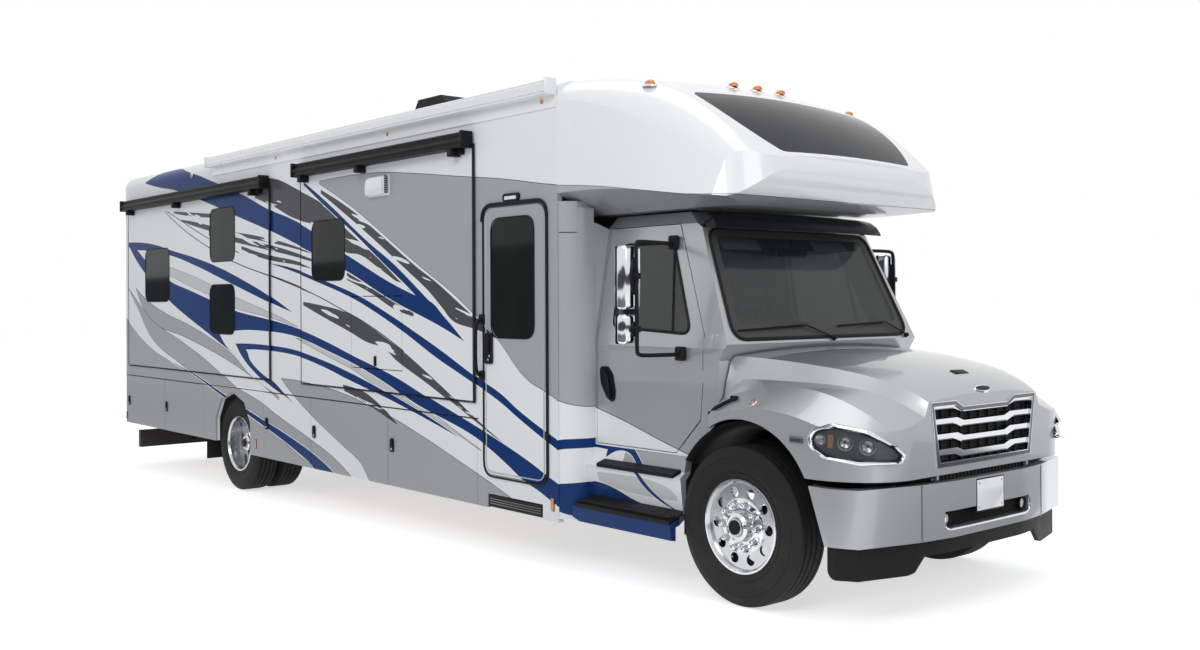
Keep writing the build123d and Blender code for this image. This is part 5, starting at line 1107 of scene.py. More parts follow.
# %% Grille screen and badge plate
GRILLE_Z = (925.0, 1300.0)
bm = bmesh.new()
add_block(bm, (962, 966), (-560, 560), GRILLE_Z)
for z in [GRILLE_Z[0] + 12 + 17 * k for k in range(21)]:
    add_block(bm, (966, 976), (-560, 560), (z, z + 4))
for y in [-520 + 104 * k for k in range(11)]:
    add_block(bm, (966, 980), (y - 3, y + 3), GRILLE_Z)
place_piece("grille_screen", bm, "hood", black_plastic)
seat, way = landing(("hood",), (1400, 0, 1366), (-1, 0, 0))
for name, radii, finish in (("badge_rim", (96, 30, 12), chrome),
                            ("badge_plate_blank", (84, 20, 15), black_plastic)):
    bm = bmesh.new()
    plate = add_disc(bm, (0, 0, -4), (0, 0, 1), 1.0, 1.0, 48, 0.92, 0.03)
    bmesh.ops.translate(bm, vec=(0, 0, 4), verts=plate)
    bmesh.ops.scale(bm, vec=(radii[1], radii[0], radii[2]), verts=plate)
    turn_to(bm, plate, way, seat - way * 5)
    place_piece(name, bm, "hood", finish)

GRILLE_CORNERS = [(-530, 915), (530, 915), (592, 1315), (330, 1315), (250, 1275), (-250, 1275), (-330, 1315),
                  (-592, 1315)]


def grille_outline(margin):
    """The grille's outline as (y, z) points, moved inwards by a margin."""
    points = []
    for y, z in GRILLE_CORNERS:
        up = 1 if z > 1000 else -1
        across = 0 if abs(y) < 400 else margin * (-1 if y > 0 else 1)
        points.append((y + across + (margin * 0.3 * (1 if y > 0 else -1) if abs(y) < 400 else 0),
                       z - up * margin))
    return points


def add_band(bm, loops, back):
    """Bridges closed loops of points, one inside the other, and gives the band a back."""
    rows = []
    for points in loops:
        verts = [bm.verts.new(p) for p in points]
        rows.append([bm.edges.new(pair) for pair in zip(verts, verts[1:] + verts[:1])])
    faces = []
    for first, second in zip(rows, rows[1:]):
        faces += bmesh.ops.bridge_loops(bm, edges=first + second)["faces"]
    pull(bm, faces, back)


bm = bmesh.new()
add_band(bm, [[(1026.6, y, z) for y, z in grille_outline(m)] for m in (5, 27)], (-1.5, 0, 0))
place_piece("grille_surround_face", bm, "hood", dark_chrome)
bm = bmesh.new()
for z in (1242.0, 1150.0, 1058.0, 966.0):
    for low, high, y0, y1 in ((z + 22, z + 29, 345, 540), (z, z + 7, -255, 255)):
        for side in ((-1, 1) if y0 > 0 else (1,)):
            add_block(bm, (1010, 1018), span(side, y0, y1), (low, high), round_by=1.5)
place_piece("grille_bar_shadows", bm, "hood", dark_chrome)
print("grille screen made, badge seated at", [round(v) for v in seat])

# %% [markdown]
# A headlamp is a bright bezel round a dark bowl with two reflectors, a small lamp and an amber
# block. The bezel follows the fender, and averaging its height round the loop keeps it smooth.

# %% Headlamps
LAMP_CORNERS = [(-262, 1105), (-235, 1160), (-117, 1188), (60, 1155), (200, 1085), (268, 1020), (240, 992),
                (20, 990), (-170, 1015), (-245, 1060)]


def lamp_outline(grow):
    """The lamp's outline in its own plane, rounded and grown from its middle."""
    points = rounded_outline([Vector(c) for c in LAMP_CORNERS], 90, 4)
    middle = Vector((-20, 1080))
    return [p + (p - middle).normalized() * grow for p in points]


def lamp_ray(side, u, z):
    """Where a point of the lamp's plane meets the hood or its lens, from outside."""
    start = (830 + 0.82 * u + 228, side * (1060 - 0.57 * u + 328), z)
    return landing(("hood", "headlamps"), start, (-0.57, -side * 0.82, 0))[0]


def evened(points, aim, rounds=40):
    """Points of a closed loop, raised along aim to a smooth line that nowhere sinks in."""
    floor_line = [p.dot(aim) for p in points]
    depth = list(floor_line)
    for _ in range(rounds):
        depth = [max((depth[i - 1] + 2 * depth[i] + depth[(i + 1) % len(depth)]) / 4, floor_line[i] - 3)
                 for i in range(len(depth))]
    return [p + aim * (d - p.dot(aim)) for p, d in zip(points, depth)]


def lamp_parts(side, label):
    aim = Vector((0.57, side * 0.82, 0)).normalized()
    bm = bmesh.new()
    base = evened([lamp_ray(side, u, z) for u, z in lamp_outline(10)], aim)
    middle = sum(base, Vector()) / len(base)
    rim = []
    for grow, lift in ((-17, -14), (-16, 2), (-9, 9), (1, 12), (11, 9), (17, 1), (18, -14)):
        row = []
        for p in base:
            out = p - middle
            out = (out - aim * out.dot(aim)).normalized()
            row.append(p + out * grow + aim * lift)
        rim.append(row)
    add_band(bm, rim, -aim * 4)
    for u, z, radius in ((-62, 1092, 42), (66, 1072, 46)):
        place = lamp_ray(side, u, z) - aim * 34
        add_ring(bm, place, aim, [(9, -34), (radius * 0.7, -24), (radius, 0), (radius + 4, 0),
                                  (radius + 3, -5), (radius * 0.74, -29), (9, -39)], 32)
    place = lamp_ray(side, -208, 1105) - aim * 32
    add_ring(bm, place, aim, [(0.01, -22), (24, -14), (30, 0), (34, 0), (28, -18), (0.01, -26)], 24)
    place_piece("headlamp_bright_parts_" + label, bm, "hood", chrome)
    bm = bmesh.new()
    path = [lamp_ray(side, u, z) for u, z in lamp_outline(-10)]
    add_tube(bm, [p - aim * 1 for p in path if p], 6, 8, closed=True)
    rim = [lamp_ray(side, u, z) for u, z in lamp_outline(-3)]
    mouth = bm.faces.new([bm.verts.new(p - aim * 26) for p in rim])
    pull(bm, [mouth], -aim * 62, keep=False)
    if mouth.is_valid:
        bmesh.ops.delete(bm, geom=[mouth], context="FACES_ONLY")
    place_piece("headlamp_housing_" + label, bm, "hood", black_plastic)
    bm = bmesh.new()
    block = add_block(bm, (-17, 17), (-9, 9), (-40, 40), round_by=6)
    turn_to(bm, block, aim, lamp_ray(side, -146, 1100) - aim * 38, (0, 1, 0))
    place_piece("headlamp_amber_" + label, bm, "hood", amber)


for side, label in ((-1, "right"), (1, "left")):
    lamp_parts(side, label)
print("headlamps dressed")

# %% [markdown]
# The bumper and the air dam are flat-faced in the drawing. A pressing has soft corners, so a
# copy of each is merged, its flat faces are joined again and its edges are rounded: the upright
# folds widely, the rims a little.

# %% Soft pressings
def soft_copy(node, body, finish, fold, rim, foot=0):
    """A copy of a node with its upright folds, its rims and its feet rounded, which stands for it."""
    bm = bmesh.new()
    bm.from_mesh(frame["nodes"][node].data)
    bmesh.ops.transform(bm, matrix=BACK, verts=bm.verts)
    bmesh.ops.remove_doubles(bm, verts=bm.verts, dist=0.05)
    bmesh.ops.dissolve_limit(bm, angle_limit=radians(0.6), verts=bm.verts, edges=bm.edges)
    if foot:
        low = min(v.co.z for v in bm.verts) + 1
        feet = [e for e in bm.edges if all(v.co.z < low for v in e.verts) and 25 < e.calc_length() < 45
                and e.calc_face_angle(0.0) > radians(20)]
        bmesh.ops.bevel(bm, geom=feet, offset=foot, segments=7, affect="EDGES", profile=0.5, material=-1)
    for upright, width, steps in ((True, fold, 6), (False, rim, 3)):
        picked = []
        for edge in bm.edges:
            if len(edge.link_faces) != 2:
                continue
            way = (edge.verts[0].co - edge.verts[1].co).normalized()
            angle = edge.calc_face_angle(0.0)
            steep = abs(way.z) > 0.9
            if steep == upright and (radians(3) < angle < radians(50) if upright else angle > radians(60)):
                picked.append(edge)
        bmesh.ops.bevel(bm, geom=picked, offset=width, segments=steps, affect="EDGES", profile=0.5,
                        material=-1, clamp_overlap=True)
    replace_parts(place_piece(node + "_soft", bm, body, finish, smooth=30), node)


soft_copy("bumper", "coach", silver, 70, 9)
soft_copy("air_dam", "coach", black_plastic, 14, 6, foot=58)
print("bumper and air dam softened")

# %% [markdown]
# The bumper is three pressings, so two thin gaps show in it. Its mouth has a bright lip below, a
# louvred screen behind and a fog lamp at each end. The number plate stays blank in its frame.

# %% Bumper, fog lamps and number plate
bm = bmesh.new()
for side in (-1, 1):
    add_block(bm, (1000, 1019.5), (side * 680 - 1.5, side * 680 + 1.5), (498, 829))
for z in [556 + 13 * k for k in range(7)]:
    add_block(bm, (1000, 1012), (-395, 395), (z, z + 5), round_by=1.5)
add_block(bm, (992, 1000), (-470, 470), (545, 658))
add_block(bm, (1048, 1056), (-160, 160), (612, 822), round_by=4)
for side in (-1, 1):
    add_ring(bm, (1005, side * 432, 602), (1, 0, 0), [(30, 0), (44, 0), (44, 20), (38, 26), (33, 20),
                                                      (30, 8)], 32)
add_block(bm, (975, 985), (-560, 560), (828, 905))
for y in [-540 + 40 * k for k in range(28)]:
    add_block(bm, (985, 991), (y - 6, y + 6), (836, 900))
place_piece("bumper_black_parts", bm, "coach", black_plastic)
bm = bmesh.new()
lip = [(1046, -478, 640), (1044, -484, 600), (1046, -478, 560), (1048, -440, 545), (1051, -400, 543),
       (1051, 400, 543), (1048, 440, 545), (1046, 478, 560), (1044, 484, 600), (1046, 478, 640)]
add_tube(bm, soften(lip), 7, 8)
for side in (-1, 1):
    for z in (642, 792):
        add_disc(bm, (1055.5, side * 128, z), (1, 0, 0), 7, 2.2, 12, 0.8)
place_piece("bumper_bright_lip", bm, "coach", chrome)
bm = bmesh.new()
add_block(bm, (1054, 1056.8), (-150, 150), (622, 812), round_by=0.5)
place_piece("number_plate_blank", bm, "coach", gelcoat)
bm = bmesh.new()
for side in (-1, 1):
    add_ring(bm, (1005, side * 432, 602), (1, 0, 0), [(0.01, 2), (31, 2), (31, 10), (20, 15), (0.01, 17)], 32)
place_piece("fog_lamp_lenses", bm, "coach", white_lens)
print("number plate and fog lamps made")

# %% [markdown]
# Straps, a scoop and marker lamps lie on the hood's slopes. A ray finds the surface: lamps and
# scoop are drawn flat and turned to it, and a strap runs through several such points.

# %% Hood details
bm, bright, orange, markers = [bmesh.new() for _ in range(4)]
seat, way = landing(("hood",), (838, 0, 2200), (0, 0, -1))
scoop = add_block(bm, (-26, 26), (-74, 74), (-5, 5), round_by=4)
turn_to(bm, scoop, way, seat)
for side in (-1, 1):
    seat, way = landing(("hood",), (98, side * 2000, 1288), (0, -side, 0))
    add_disc(bright, seat - way * 3, way, 34, 9, 28, 0.85, 2.0)
    add_disc(orange, seat + way * 5, way, 13, 9, 20, 0.75, 2.0)
    seat, way = landing(("hood",), (490, side * 2000, 1094), (0, -side, 0))
    pill = add_block(markers, (-52, 52), (-12, 12), (-22, 22), round_by=11, segments=4)
    turn_to(markers, pill, way, seat, (0, side, 0))
    ends = [landing(("hood", "cab_shell"), (x, side * 2000, z), (0, -side, 0))[0] for x, z in
            ((-330, 1178), (-245, 1222), (-175, 1262), (-105, 1296))]
    ends = [p + Vector((0, side * 10, 4)) for p in ends if p]
    add_tube(bm, soften(ends, 1), 13, 8)
    for place in (ends[0], ends[-1]):
        add_block(bm, (place.x - 26, place.x + 26), (place.y - 14, place.y + 14),
                  (place.z - 18, place.z + 18), round_by=5)
place_piece("hood_straps_and_scoop", bm, "hood", black_plastic)
place_piece("fender_lamp_bases", bright, "hood", chrome)
place_piece("fender_lamp_lenses", orange, "hood", amber)
place_piece("fender_side_markers", markers, "hood", dark_chrome)
print("hood dressed")

# %% [markdown]
# A wheel arch shows a black sheet over the tyre. One profile spun through part of a turn makes
# the sheet, and a plate closes it behind the wheel.

# %% Inner fenders
bm = bmesh.new()
for side in (-1, 1):
    profile = [(620, 612), (1010, 612), (1080, 652), (1084, 657), (1008, 618), (620, 618)]
    sheet = bm.faces.new([bm.verts.new((r, side * y, 503)) for y, r in profile])
    bmesh.ops.spin(bm, geom=[sheet] + list(sheet.edges) + list(sheet.verts), cent=(0, 0, 503),
                   axis=(0, -1, 0), angle=radians(147), steps=28)
    add_block(bm, (-613, -606), span(side, 560, 1034), (350, 835))
place_piece("inner_fenders", bm, "coach", black_plastic)
print("inner fenders made")

# %% [markdown]
# ## The cab
# A truck's screen is glued in behind a black rubber gasket, with a ceramic band printed round
# the glass to hide the glue. The band is two rounded outlines, bridged; the gasket is a tube
# along the outer one. Wipers, mirror, sun visors and an outside visor finish it.

# %% Screen band, gasket and wipers
SCREEN_FOOT, SCREEN_UP = Vector((-205, 0, 1640)), Vector((-0.4120, 0, 0.9112))
SCREEN_OUT = Vector((0.9112, 0, 0.4120))
SCREEN_HALF, SCREEN_TAPER = 960, 0.1219
SCREEN_LOW, SCREEN_HIGH = 35, 841.5
GLASS_FACE = (landing(("windscreen",), SCREEN_FOOT + SCREEN_UP * 400 + SCREEN_OUT * 400, -SCREEN_OUT)[0]
              - SCREEN_FOOT).dot(SCREEN_OUT)


def on_screen(y, up, out=0.0):
    """A point of the screen: y across, up its slope and out from its face."""
    return SCREEN_FOOT + SCREEN_UP * up + SCREEN_OUT * (GLASS_FACE + out) + Vector((0, y, 0))


def screen_outline(sides, foot, top, radius):
    """The outline of the glass, moved inwards by three margins."""
    low, high = SCREEN_LOW + foot, SCREEN_HIGH - top
    corners = [(-1, low), (1, low), (1, high), (-1, high)]
    corners = [Vector((end * (SCREEN_HALF - SCREEN_TAPER * s - sides), s)) for end, s in corners]
    return rounded_outline(corners, radius, 6)


def loop_edges(bm, points):
    """A closed loop of edges through points."""
    verts = [bm.verts.new(p) for p in points]
    return [bm.edges.new((a, b)) for a, b in zip(verts, verts[1:] + verts[:1])]


bm = bmesh.new()
outer = loop_edges(bm, [on_screen(y, s, 0.6) for y, s in screen_outline(2, 2, 2, 108)])
inner = loop_edges(bm, [on_screen(y, s, 0.6) for y, s in screen_outline(68, 100, 42, 70)])
ring = bmesh.ops.bridge_loops(bm, edges=outer + inner)["faces"]
pull(bm, ring, SCREEN_OUT * 1.2)
place_piece("screen_ceramic_band", bm, "coach", frit)
bm = bmesh.new()
add_tube(bm, [on_screen(y, s, 2) for y, s in screen_outline(-5, -5, -5, 114)], 13, 10, closed=True)
place_piece("screen_gasket", bm, "coach", seal)
bm = bmesh.new()
for tip, heel, pivot in (((-900, 92), (-216, 116), (60, 14)), ((150, 108), (700, 126), (925, 18))):
    tip, heel, pivot = [on_screen(*p, out=o) for p, o in ((tip, 9), (heel, 9), (pivot, 20))]
    add_tube(bm, [tip, tip.lerp(heel, 0.5) + SCREEN_OUT * 5, heel], 5.5, 8)
    add_tube(bm, [tip + SCREEN_OUT * 9, tip.lerp(heel, 0.5) + SCREEN_OUT * 15, heel + SCREEN_OUT * 9], 3.0, 8)
    add_tube(bm, [tip.lerp(heel, 0.5) + SCREEN_OUT * 14, heel + SCREEN_OUT * 14, pivot], 6.0, 8)
    add_disc(bm, pivot - SCREEN_OUT * 24, SCREEN_OUT, 17, 32, 20, 0.8, 3.0)
place_piece("wipers", bm, "coach", black_plastic)
bm = bmesh.new()
add_block(bm, (-545, -515), (-150, 150), (2235, 2300), round_by=14, segments=3)
add_tube(bm, [(-530, 0, 2290), (-548, 0, 2370)], 9, 10)
place_piece("interior_mirror", bm, "coach", black_plastic)
bm = bmesh.new()
for side in (-1, 1):
    visor = add_block(bm, (-8, 8), (-200, 200), (-62, 62), round_by=7,
                      turn=Matrix.Rotation(radians(-38), 3, "Y"))
    bmesh.ops.translate(bm, vec=(-600, side * 500, 2330), verts=visor)
place_piece("sun_visors", bm, "coach", visor_cloth)
print("screen dressed, glass face", round(GLASS_FACE, 1))

# %% [markdown]
# The outside visor is one dark sheet, curved over its depth and swept back at its ends. A line
# of edges is drawn across in steps, bent by the square of the width and given a thickness.

# %% Outside visor
VISOR_LINE = [(-610, 2545), (-520, 2538), (-440, 2515), (-385, 2478), (-352, 2435), (-345, 2415)]
VISOR_HALF, VISOR_STEPS = 905, 18
bm = bmesh.new()
verts = [bm.verts.new((x, -VISOR_HALF, z)) for x, z in VISOR_LINE]
edges = [bm.edges.new(pair) for pair in zip(verts, verts[1:])]
for _ in range(VISOR_STEPS):
    drawn = bmesh.ops.extrude_edge_only(bm, edges=edges)["geom"]
    edges = [g for g in drawn if isinstance(g, bmesh.types.BMEdge)
             and abs(g.verts[0].co.y - g.verts[1].co.y) < 1e-4]
    bmesh.ops.translate(bm, vec=(0, 2 * VISOR_HALF / VISOR_STEPS, 0), verts=verts_in(drawn))
for vert in bm.verts:
    across = abs(vert.co.y) / VISOR_HALF
    vert.co.x -= 75 * across ** 2 * (1 if vert.co.x > -560 else 0.2)
bmesh.ops.solidify(bm, geom=list(bm.faces), thickness=5)
place_piece("outside_visor", bm, "coach", black_glass)
bm = bmesh.new()
for side in (-1, 1):
    add_tube(bm, [(-470, side * 880, 2490), (-540, side * 892, 2455), (-575, side * 880, 2430)], 8, 8)
    add_block(bm, (-600, -560), (side * 880 - 16, side * 880 + 16), (2415, 2445), round_by=5)
add_block(bm, (-500, -480), (-12, 12), (2440, 2528), round_by=4)
place_piece("visor_brackets", bm, "coach", black_plastic)
print("outside visor", 2 * VISOR_HALF, "wide")

# %% [markdown]
# The door's glass sits in a rubber channel with an upright post near its front. The handle is
# a tear-shaped dish with a grip across it, and the mirror's bright covers hang on a black tube.

# %% Doors, handles and mirrors
WINDOW_CORNERS = [(-1340, 1740), (-545, 1700), (-815, 2330), (-1340, 2330)]
DOOR_HALF, BELT_Z, DOOR_LEAN = 1045, 1610, 0.1773


def door_side(z):
    """Half the width of the door at a height, above and below the belt line."""
    return DOOR_HALF - max(0, z - BELT_Z) * DOOR_LEAN


def dress_door(side, label):
    body = "cab_door_" + label
    bm = bmesh.new()
    path = rounded_outline([Vector(c) for c in WINDOW_CORNERS], 60, 5)
    add_tube(bm, [(x, side * (door_side(z) + 0.5), z) for x, z in path], 11, 8, closed=True)
    add_tube(bm, [(-722, side * (door_side(1715) - 2), 1715), (-806, side * (door_side(2320) - 2), 2320)], 11,
             8)
    add_block(bm, (-1520, -1498), (side * 1036 - 5, side * 1036 + 5), (900, 1600), round_by=3)
    dish = [(-1462, 1452), (-1370, 1456), (-1318, 1400), (-1290, 1280), (-1296, 1215), (-1330, 1200),
            (-1385, 1230), (-1448, 1330)]
    face = bm.faces.new([bm.verts.new((x, side * 1045.5, z)) for x, z in
                         rounded_outline([Vector(c) for c in dish], 40, 4)])
    ring = bmesh.ops.extrude_face_region(bm, geom=[face])["geom"]
    bmesh.ops.translate(bm, vec=(0, side * 7, 0), verts=verts_in(ring))
    front = [g for g in ring if isinstance(g, bmesh.types.BMFace)]
    bmesh.ops.inset_region(bm, faces=front, thickness=14, use_even_offset=True)
    bmesh.ops.translate(bm, vec=(0, -side * 6, 0), verts=list({v for f in front for v in f.verts}))
    grip = add_block(bm, (-17, 17), (-13, 13), (-92, 92), round_by=11, segments=3,
                     turn=Matrix.Rotation(radians(-14), 3, "Y"))
    bmesh.ops.translate(bm, vec=(-1368, side * 1056, 1318), verts=grip)
    add_disc(bm, (-1408, side * 1048, 1424), (0, side, 0), 12, 6, 20, 0.9, 1.5)
    place_piece("door_trim_" + label, bm, body, black_plastic, smooth=40)
    bm = bmesh.new()
    add_block(bm, (-778, -687), span(side, 1499.8, 1342.5), (1867, 2293), round_by=26, segments=4)
    add_block(bm, (-778, -687), span(side, 1499.8, 1352.5), (1637, 1843), round_by=30, segments=4)
    place_piece("mirror_covers_" + label, bm, body, chrome, smooth=40)
    bm = bmesh.new()
    add_block(bm, (-793, -790), span(side, 1490, 1355), (1882, 2278), round_by=1.2)
    add_block(bm, (-793, -790), span(side, 1490, 1365), (1652, 1828), round_by=1.2)
    place_piece("mirror_glasses_" + label, bm, body, chrome)
    bm = bmesh.new()
    y = side * 1415
    add_tube(bm, soften([(-800, side * 930, 2320), (-745, side * 1150, 2320), (-700, side * 1350, 2320),
                         (-672, side * 1408, 2312), (-666, y, 2270), (-662, y, 1900), (-662, y, 1600),
                         (-664, side * 1400, 1570), (-655, side * 1330, 1565), (-612, side * 1052, 1565)]),
                         14, 10)
    for low, high, inner in ((1872, 2288, 1346), (1642, 1838, 1356)):
        add_block(bm, (-790, -770), span(side, 1494, inner), (low, high), round_by=8, segments=3)
    add_block(bm, (-772, -700), (y - 30, y + 30), (1820, 1890), round_by=10, segments=3)
    for z, tall in ((2090, 128), (1740, 52)):
        oval = add_disc(bm, (0, 0, 0), (1, 0, 0), 1.0, 1.0, 32, 0.82, 0.1)
        bmesh.ops.scale(bm, vec=(20, 36, tall), verts=oval)
        bmesh.ops.translate(bm, vec=(-690, y, z), verts=oval)
        add_block(bm, (-692, -640), (y - 24, y + 24), (z - 20, z + 20), round_by=8, segments=3)
    for x, z, reach in ((-800, 2330, 917), (-610, 1570, 1045)):
        add_block(bm, (x - 42, x + 42), span(side, reach, reach + 42), (z - 48, z + 48), round_by=14,
                  segments=3)
    arm = place_piece("mirror_arm_" + label, bm, body, black_plastic, smooth=40)
    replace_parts(arm, "mirror_" + label)


for side, label in ((-1, "right"), (1, "left")):
    dress_door(side, label)
print("doors and mirrors dressed")

# %% [markdown]
# Moulded steps have ribs along them for grip: rows of thin bars, a little proud of the step.

# %% Step treads
bm = bmesh.new()
for side in (-1, 1):
    for x0, x1, z, y0, y1 in ((-1372, -610, 766, 1082, 1150), (-1490, -545, 498, 1100, 1246)):
        for y in [y0 + 12 * k for k in range(int((y1 - y0) / 12) + 1)]:
            add_block(bm, (x0, x1), (side * y - 3, side * y + 3), (z - 2, z + 3.5), round_by=1.0, segments=1)
place_piece("tread_ribs", bm, "coach", black_plastic)
print("steps ribbed")

# %% [markdown]
# Over the belt line the door leans in, and a moulded return closes the space between it and the
# coach's corner. It stands just behind the arc that the door's rear edge sweeps.

# %% Corner returns behind the doors
bm = bmesh.new()
for side in (-1, 1):
    line = [(1045, 1560)] + [(door_side(z) + 3, z) for z in (1700, 1900, 2100, 2300, 2400, 2455)]
    line += [(1040, 2500), (1060, 2500), (1060, 1560)]
    face = bm.faces.new([bm.verts.new((-1519, side * y, z)) for y, z in line])
    pull(bm, [face], (-7, 0, 0))
    crown = [(-1541, 1188), (-1533, 1173), (-1526, 1156), (-1520.5, 1138), (-1519.5, 1118), (-1519.5, 1050),
             (-1541, 1050)]
    face = bm.faces.new([bm.verts.new((x, side * y, 2196)) for x, y in crown])
    pull(bm, [face], (0, 0, 410))
place_piece("corner_returns", bm, "coach", fairing_paint, smooth=50)
print("cab dressed")

# %% [markdown]
# ## The coach's side
# Flat trim is an outline given a thickness: pill-shaped latches, lamp bases, a handle box. Seals
# are tubes along an outline. A slide-out closes on a thick black bulb seal at its front edge.

# %% Plates and latches
def add_plate(bm, outline, y, depth):
    """A closed plate from an outline of (x, z) points at y, depth thick along y."""
    face = bm.faces.new([bm.verts.new((x, y, z)) for x, z in outline])
    return list(face.verts) + pull(bm, [face], (0, depth, 0))


def plate_at(bm, x, z, wide, tall, radius, y, depth):
    """A plate with round corners, centred at (x, z)."""
    return add_plate(bm, rectangle(x - wide / 2, x + wide / 2, z - tall / 2, z + tall / 2, radius), y, depth)


DOOR_OUT, SLIDE_OUT, ENTRY_OUT = 7.2, 12, 4
BAYS = {-1: [("bay_door_right_%d" % (i + 1), x + 80)
             for i, x in enumerate((-10545, -9275, -6537, -5495, -4049))],
        1: [("bay_door_left_%d" % (i + 1), x + 80) for i, x in enumerate((-10545, -6537, -4700))]}
for side, doors in BAYS.items():
    for body, x in doors:
        y = side * (SKIN + DOOR_OUT)
        bm, bright = bmesh.new(), bmesh.new()
        plate_at(bm, x, 675, 70, 122, 32, y, side * 5)
        grip = add_block(bm, (-17, 17), (-6, 6), (-34, 34), round_by=5, segments=3)
        bmesh.ops.translate(bm, vec=(x, y + side * 7, 694), verts=grip)
        add_ring(bright, (x, y + side * 4, 640), (0, side, 0), [(0.01, 2), (9, 2), (9, 5), (6, 7), (0.01, 7)],
                 18)
        place_piece("latch_" + body, bm, body, black_plastic)
        place_piece("latch_lock_" + body, bright, body, chrome)
bm = bmesh.new()
y = -(SKIN + SLIDE_OUT + DOOR_OUT)
plate_at(bm, -4230, 1400, 46, 92, 21, y, -5)
add_block(bm, (-4242, -4218), (y - 11, y - 3), (1372, 1428), round_by=4, segments=3)
place_piece("latch_access_door", bm, "access_door", black_plastic)
print("latches on", sum(map(len, BAYS.values())) + 1, "doors")

# %% [markdown]
# Seals ride on the slide-outs, because they come out with them. The vent over the range is a
# plate with a smaller, softened plate on it and dark slots in its front end.

# %% Slide-out seals, glass seals and the range vent
SLIDES = {"slide_rear": (-10465, -6355, 1125, 3130), "slide_front": (-5668, -2698, 1125, 3180)}
for body, (rear, front, bottom, top) in SLIDES.items():
    y = -(SKIN + SLIDE_OUT)
    bm = bmesh.new()
    add_block(bm, (front - 16, front + 13), (y - 9, y + 1), (bottom - 4, top), round_by=4, segments=3)
    add_block(bm, (rear - 3, rear + 5), (y - 4, y + 1), (bottom - 4, top), round_by=1.5)
    add_block(bm, (rear, front), (y - 3, y + 1), (bottom - 5, bottom + 2), round_by=1.2)
    place_piece("bulb_seal_" + body, bm, body, seal)
WINDOW_SEALS = [("slide_rear", -1, (-9860, -9077, 1940, 2585)),
                ("slide_rear", -1, (-7866, -7206, 2379, 2965)),
                ("slide_rear", -1, (-7875, -7214, 1580, 2123)),
                ("slide_front", -1, (-5433, -4787, 2130, 2701)),
                ("coach", 1, (-9900, -9000, 1940, 2585)), ("coach", 1, (-7500, -6600, 1940, 2585)),
                ("coach", 1, (-5433, -4300, 1940, 2701))]
for number, (body, side, (rear, front, bottom, top)) in enumerate(WINDOW_SEALS):
    bm = bmesh.new()
    y = side * (SKIN + (SLIDE_OUT if side < 0 else 0) + 1)
    add_tube(bm, [(x, y, z) for x, z in rectangle(rear, front, bottom, top, 110, 1)], 5, 8, closed=True)
    place_piece("window_seal_%d" % (number + 1), bm, body, seal)
bm = bmesh.new()
vent = rounded_outline([Vector(c) for c in ((-4340, 2861), (-3979, 2861), (-3979, 3039), (-4340, 3039))],
                       [25, 12, 12, 120], 6)
y = -(SKIN + SLIDE_OUT)
add_plate(bm, vent, y, -10)
vent_middle = Vector((-4160, 2950))
smaller = [vent_middle + (p - vent_middle) * 0.9 for p in vent]
add_plate(bm, smaller, y - 8, -52)
outer = [f for f in bm.faces if all(abs(v.co.y - (y - 60)) < 0.5 for v in f.verts)]
rim = list({e for f in outer for e in f.edges})
bmesh.ops.bevel(bm, geom=rim, offset=16, segments=4, affect="EDGES", profile=0.5, material=-1)
place_piece("range_vent_cover", bm, "slide_front", gelcoat)
bm = bmesh.new()
for z in [2880 + 20 * k for k in range(8)]:
    add_block(bm, (-3996, -3990), (y - 50, y - 12), (z, z + 12), round_by=2)
place_piece("range_vent_slots", bm, "slide_front", black_plastic)
print("seals", len(SLIDES) + len(WINDOW_SEALS))

# %% [markdown]
# The entry door hangs in an aluminium frame with a thick weather strip over its head. Its
# window has a pale frame, the latch sits in a black box, and a long handle helps a person up.

# %% Entry door
y = -(SKIN + ENTRY_OUT)
bm, pale, dark = bmesh.new(), bmesh.new(), bmesh.new()
add_tube(bm, [(x, y - 1, z) for x, z in rectangle(-2575, -1790, 572, 2660, 110, 9)], 8, 8, closed=True)
arch = [(x, y - 6, z) for x, z in rectangle(-2575, -1790, 572, 2660, 110, 19, 8) if z > 2530]
arch = sorted(arch, key=lambda p: p[0])
add_tube(bm, arch, 13, 10)
add_tube(bm, [(-1770, y - 6, 2560), (-1770, y - 6, 640)], 11, 10)
place_piece("entry_weather_strip", bm, "coach", seal)
add_tube(pale, [(x, y, z) for x, z in rectangle(-2575, -1790, 572, 2660, 110, -26)], 5, 8, closed=True)
frame_ring(pale, rectangle(-2475, -1927, 1646, 2569, 110, 36), y - 1, 33, -6)
place_piece("entry_pale_frame", pale, "entry_door", visor_cloth)
add_tube(dark, [(x, y - 4, z) for x, z in rectangle(-2475, -1927, 1646, 2569, 110, 2)], 4, 8, closed=True)
plate_at(dark, -2500, 1560, 104, 240, 18, y - 8, -6)
grip = add_block(dark, (-15, 15), (-9, 9), (-62, 62), round_by=7, segments=3)
bmesh.ops.translate(dark, vec=(-2500, y - 20, 1596), verts=grip)
place_piece("entry_handle_box", dark, "entry_door", black_plastic)
bright = bmesh.new()
for z in (1500, 1470):
    add_disc(bright, (-2500 + (z - 1485) * 0.6, y - 13, z), (0, -1, 0), 11, 5, 20, 0.9, 1.0)
place_piece("entry_lock_barrels", bright, "entry_door", chrome)
bm = bmesh.new()
rail = [(-2596, -1288, 1345), (-2596, -1330, 1350), (-2602, -1350, 1400), (-2604, -1352, 1560),
        (-2602, -1350, 1730), (-2596, -1330, 1782), (-2596, -1288, 1788)]
add_tube(bm, soften(rail), 15, 12)
for z in (1345, 1788):
    add_block(bm, (-2630, -2562), (-1304, -1283), (z - 38, z + 38), round_by=8, segments=3)
place_piece("assist_handle", bm, "coach", black_plastic)
bm, clear = bmesh.new(), bmesh.new()
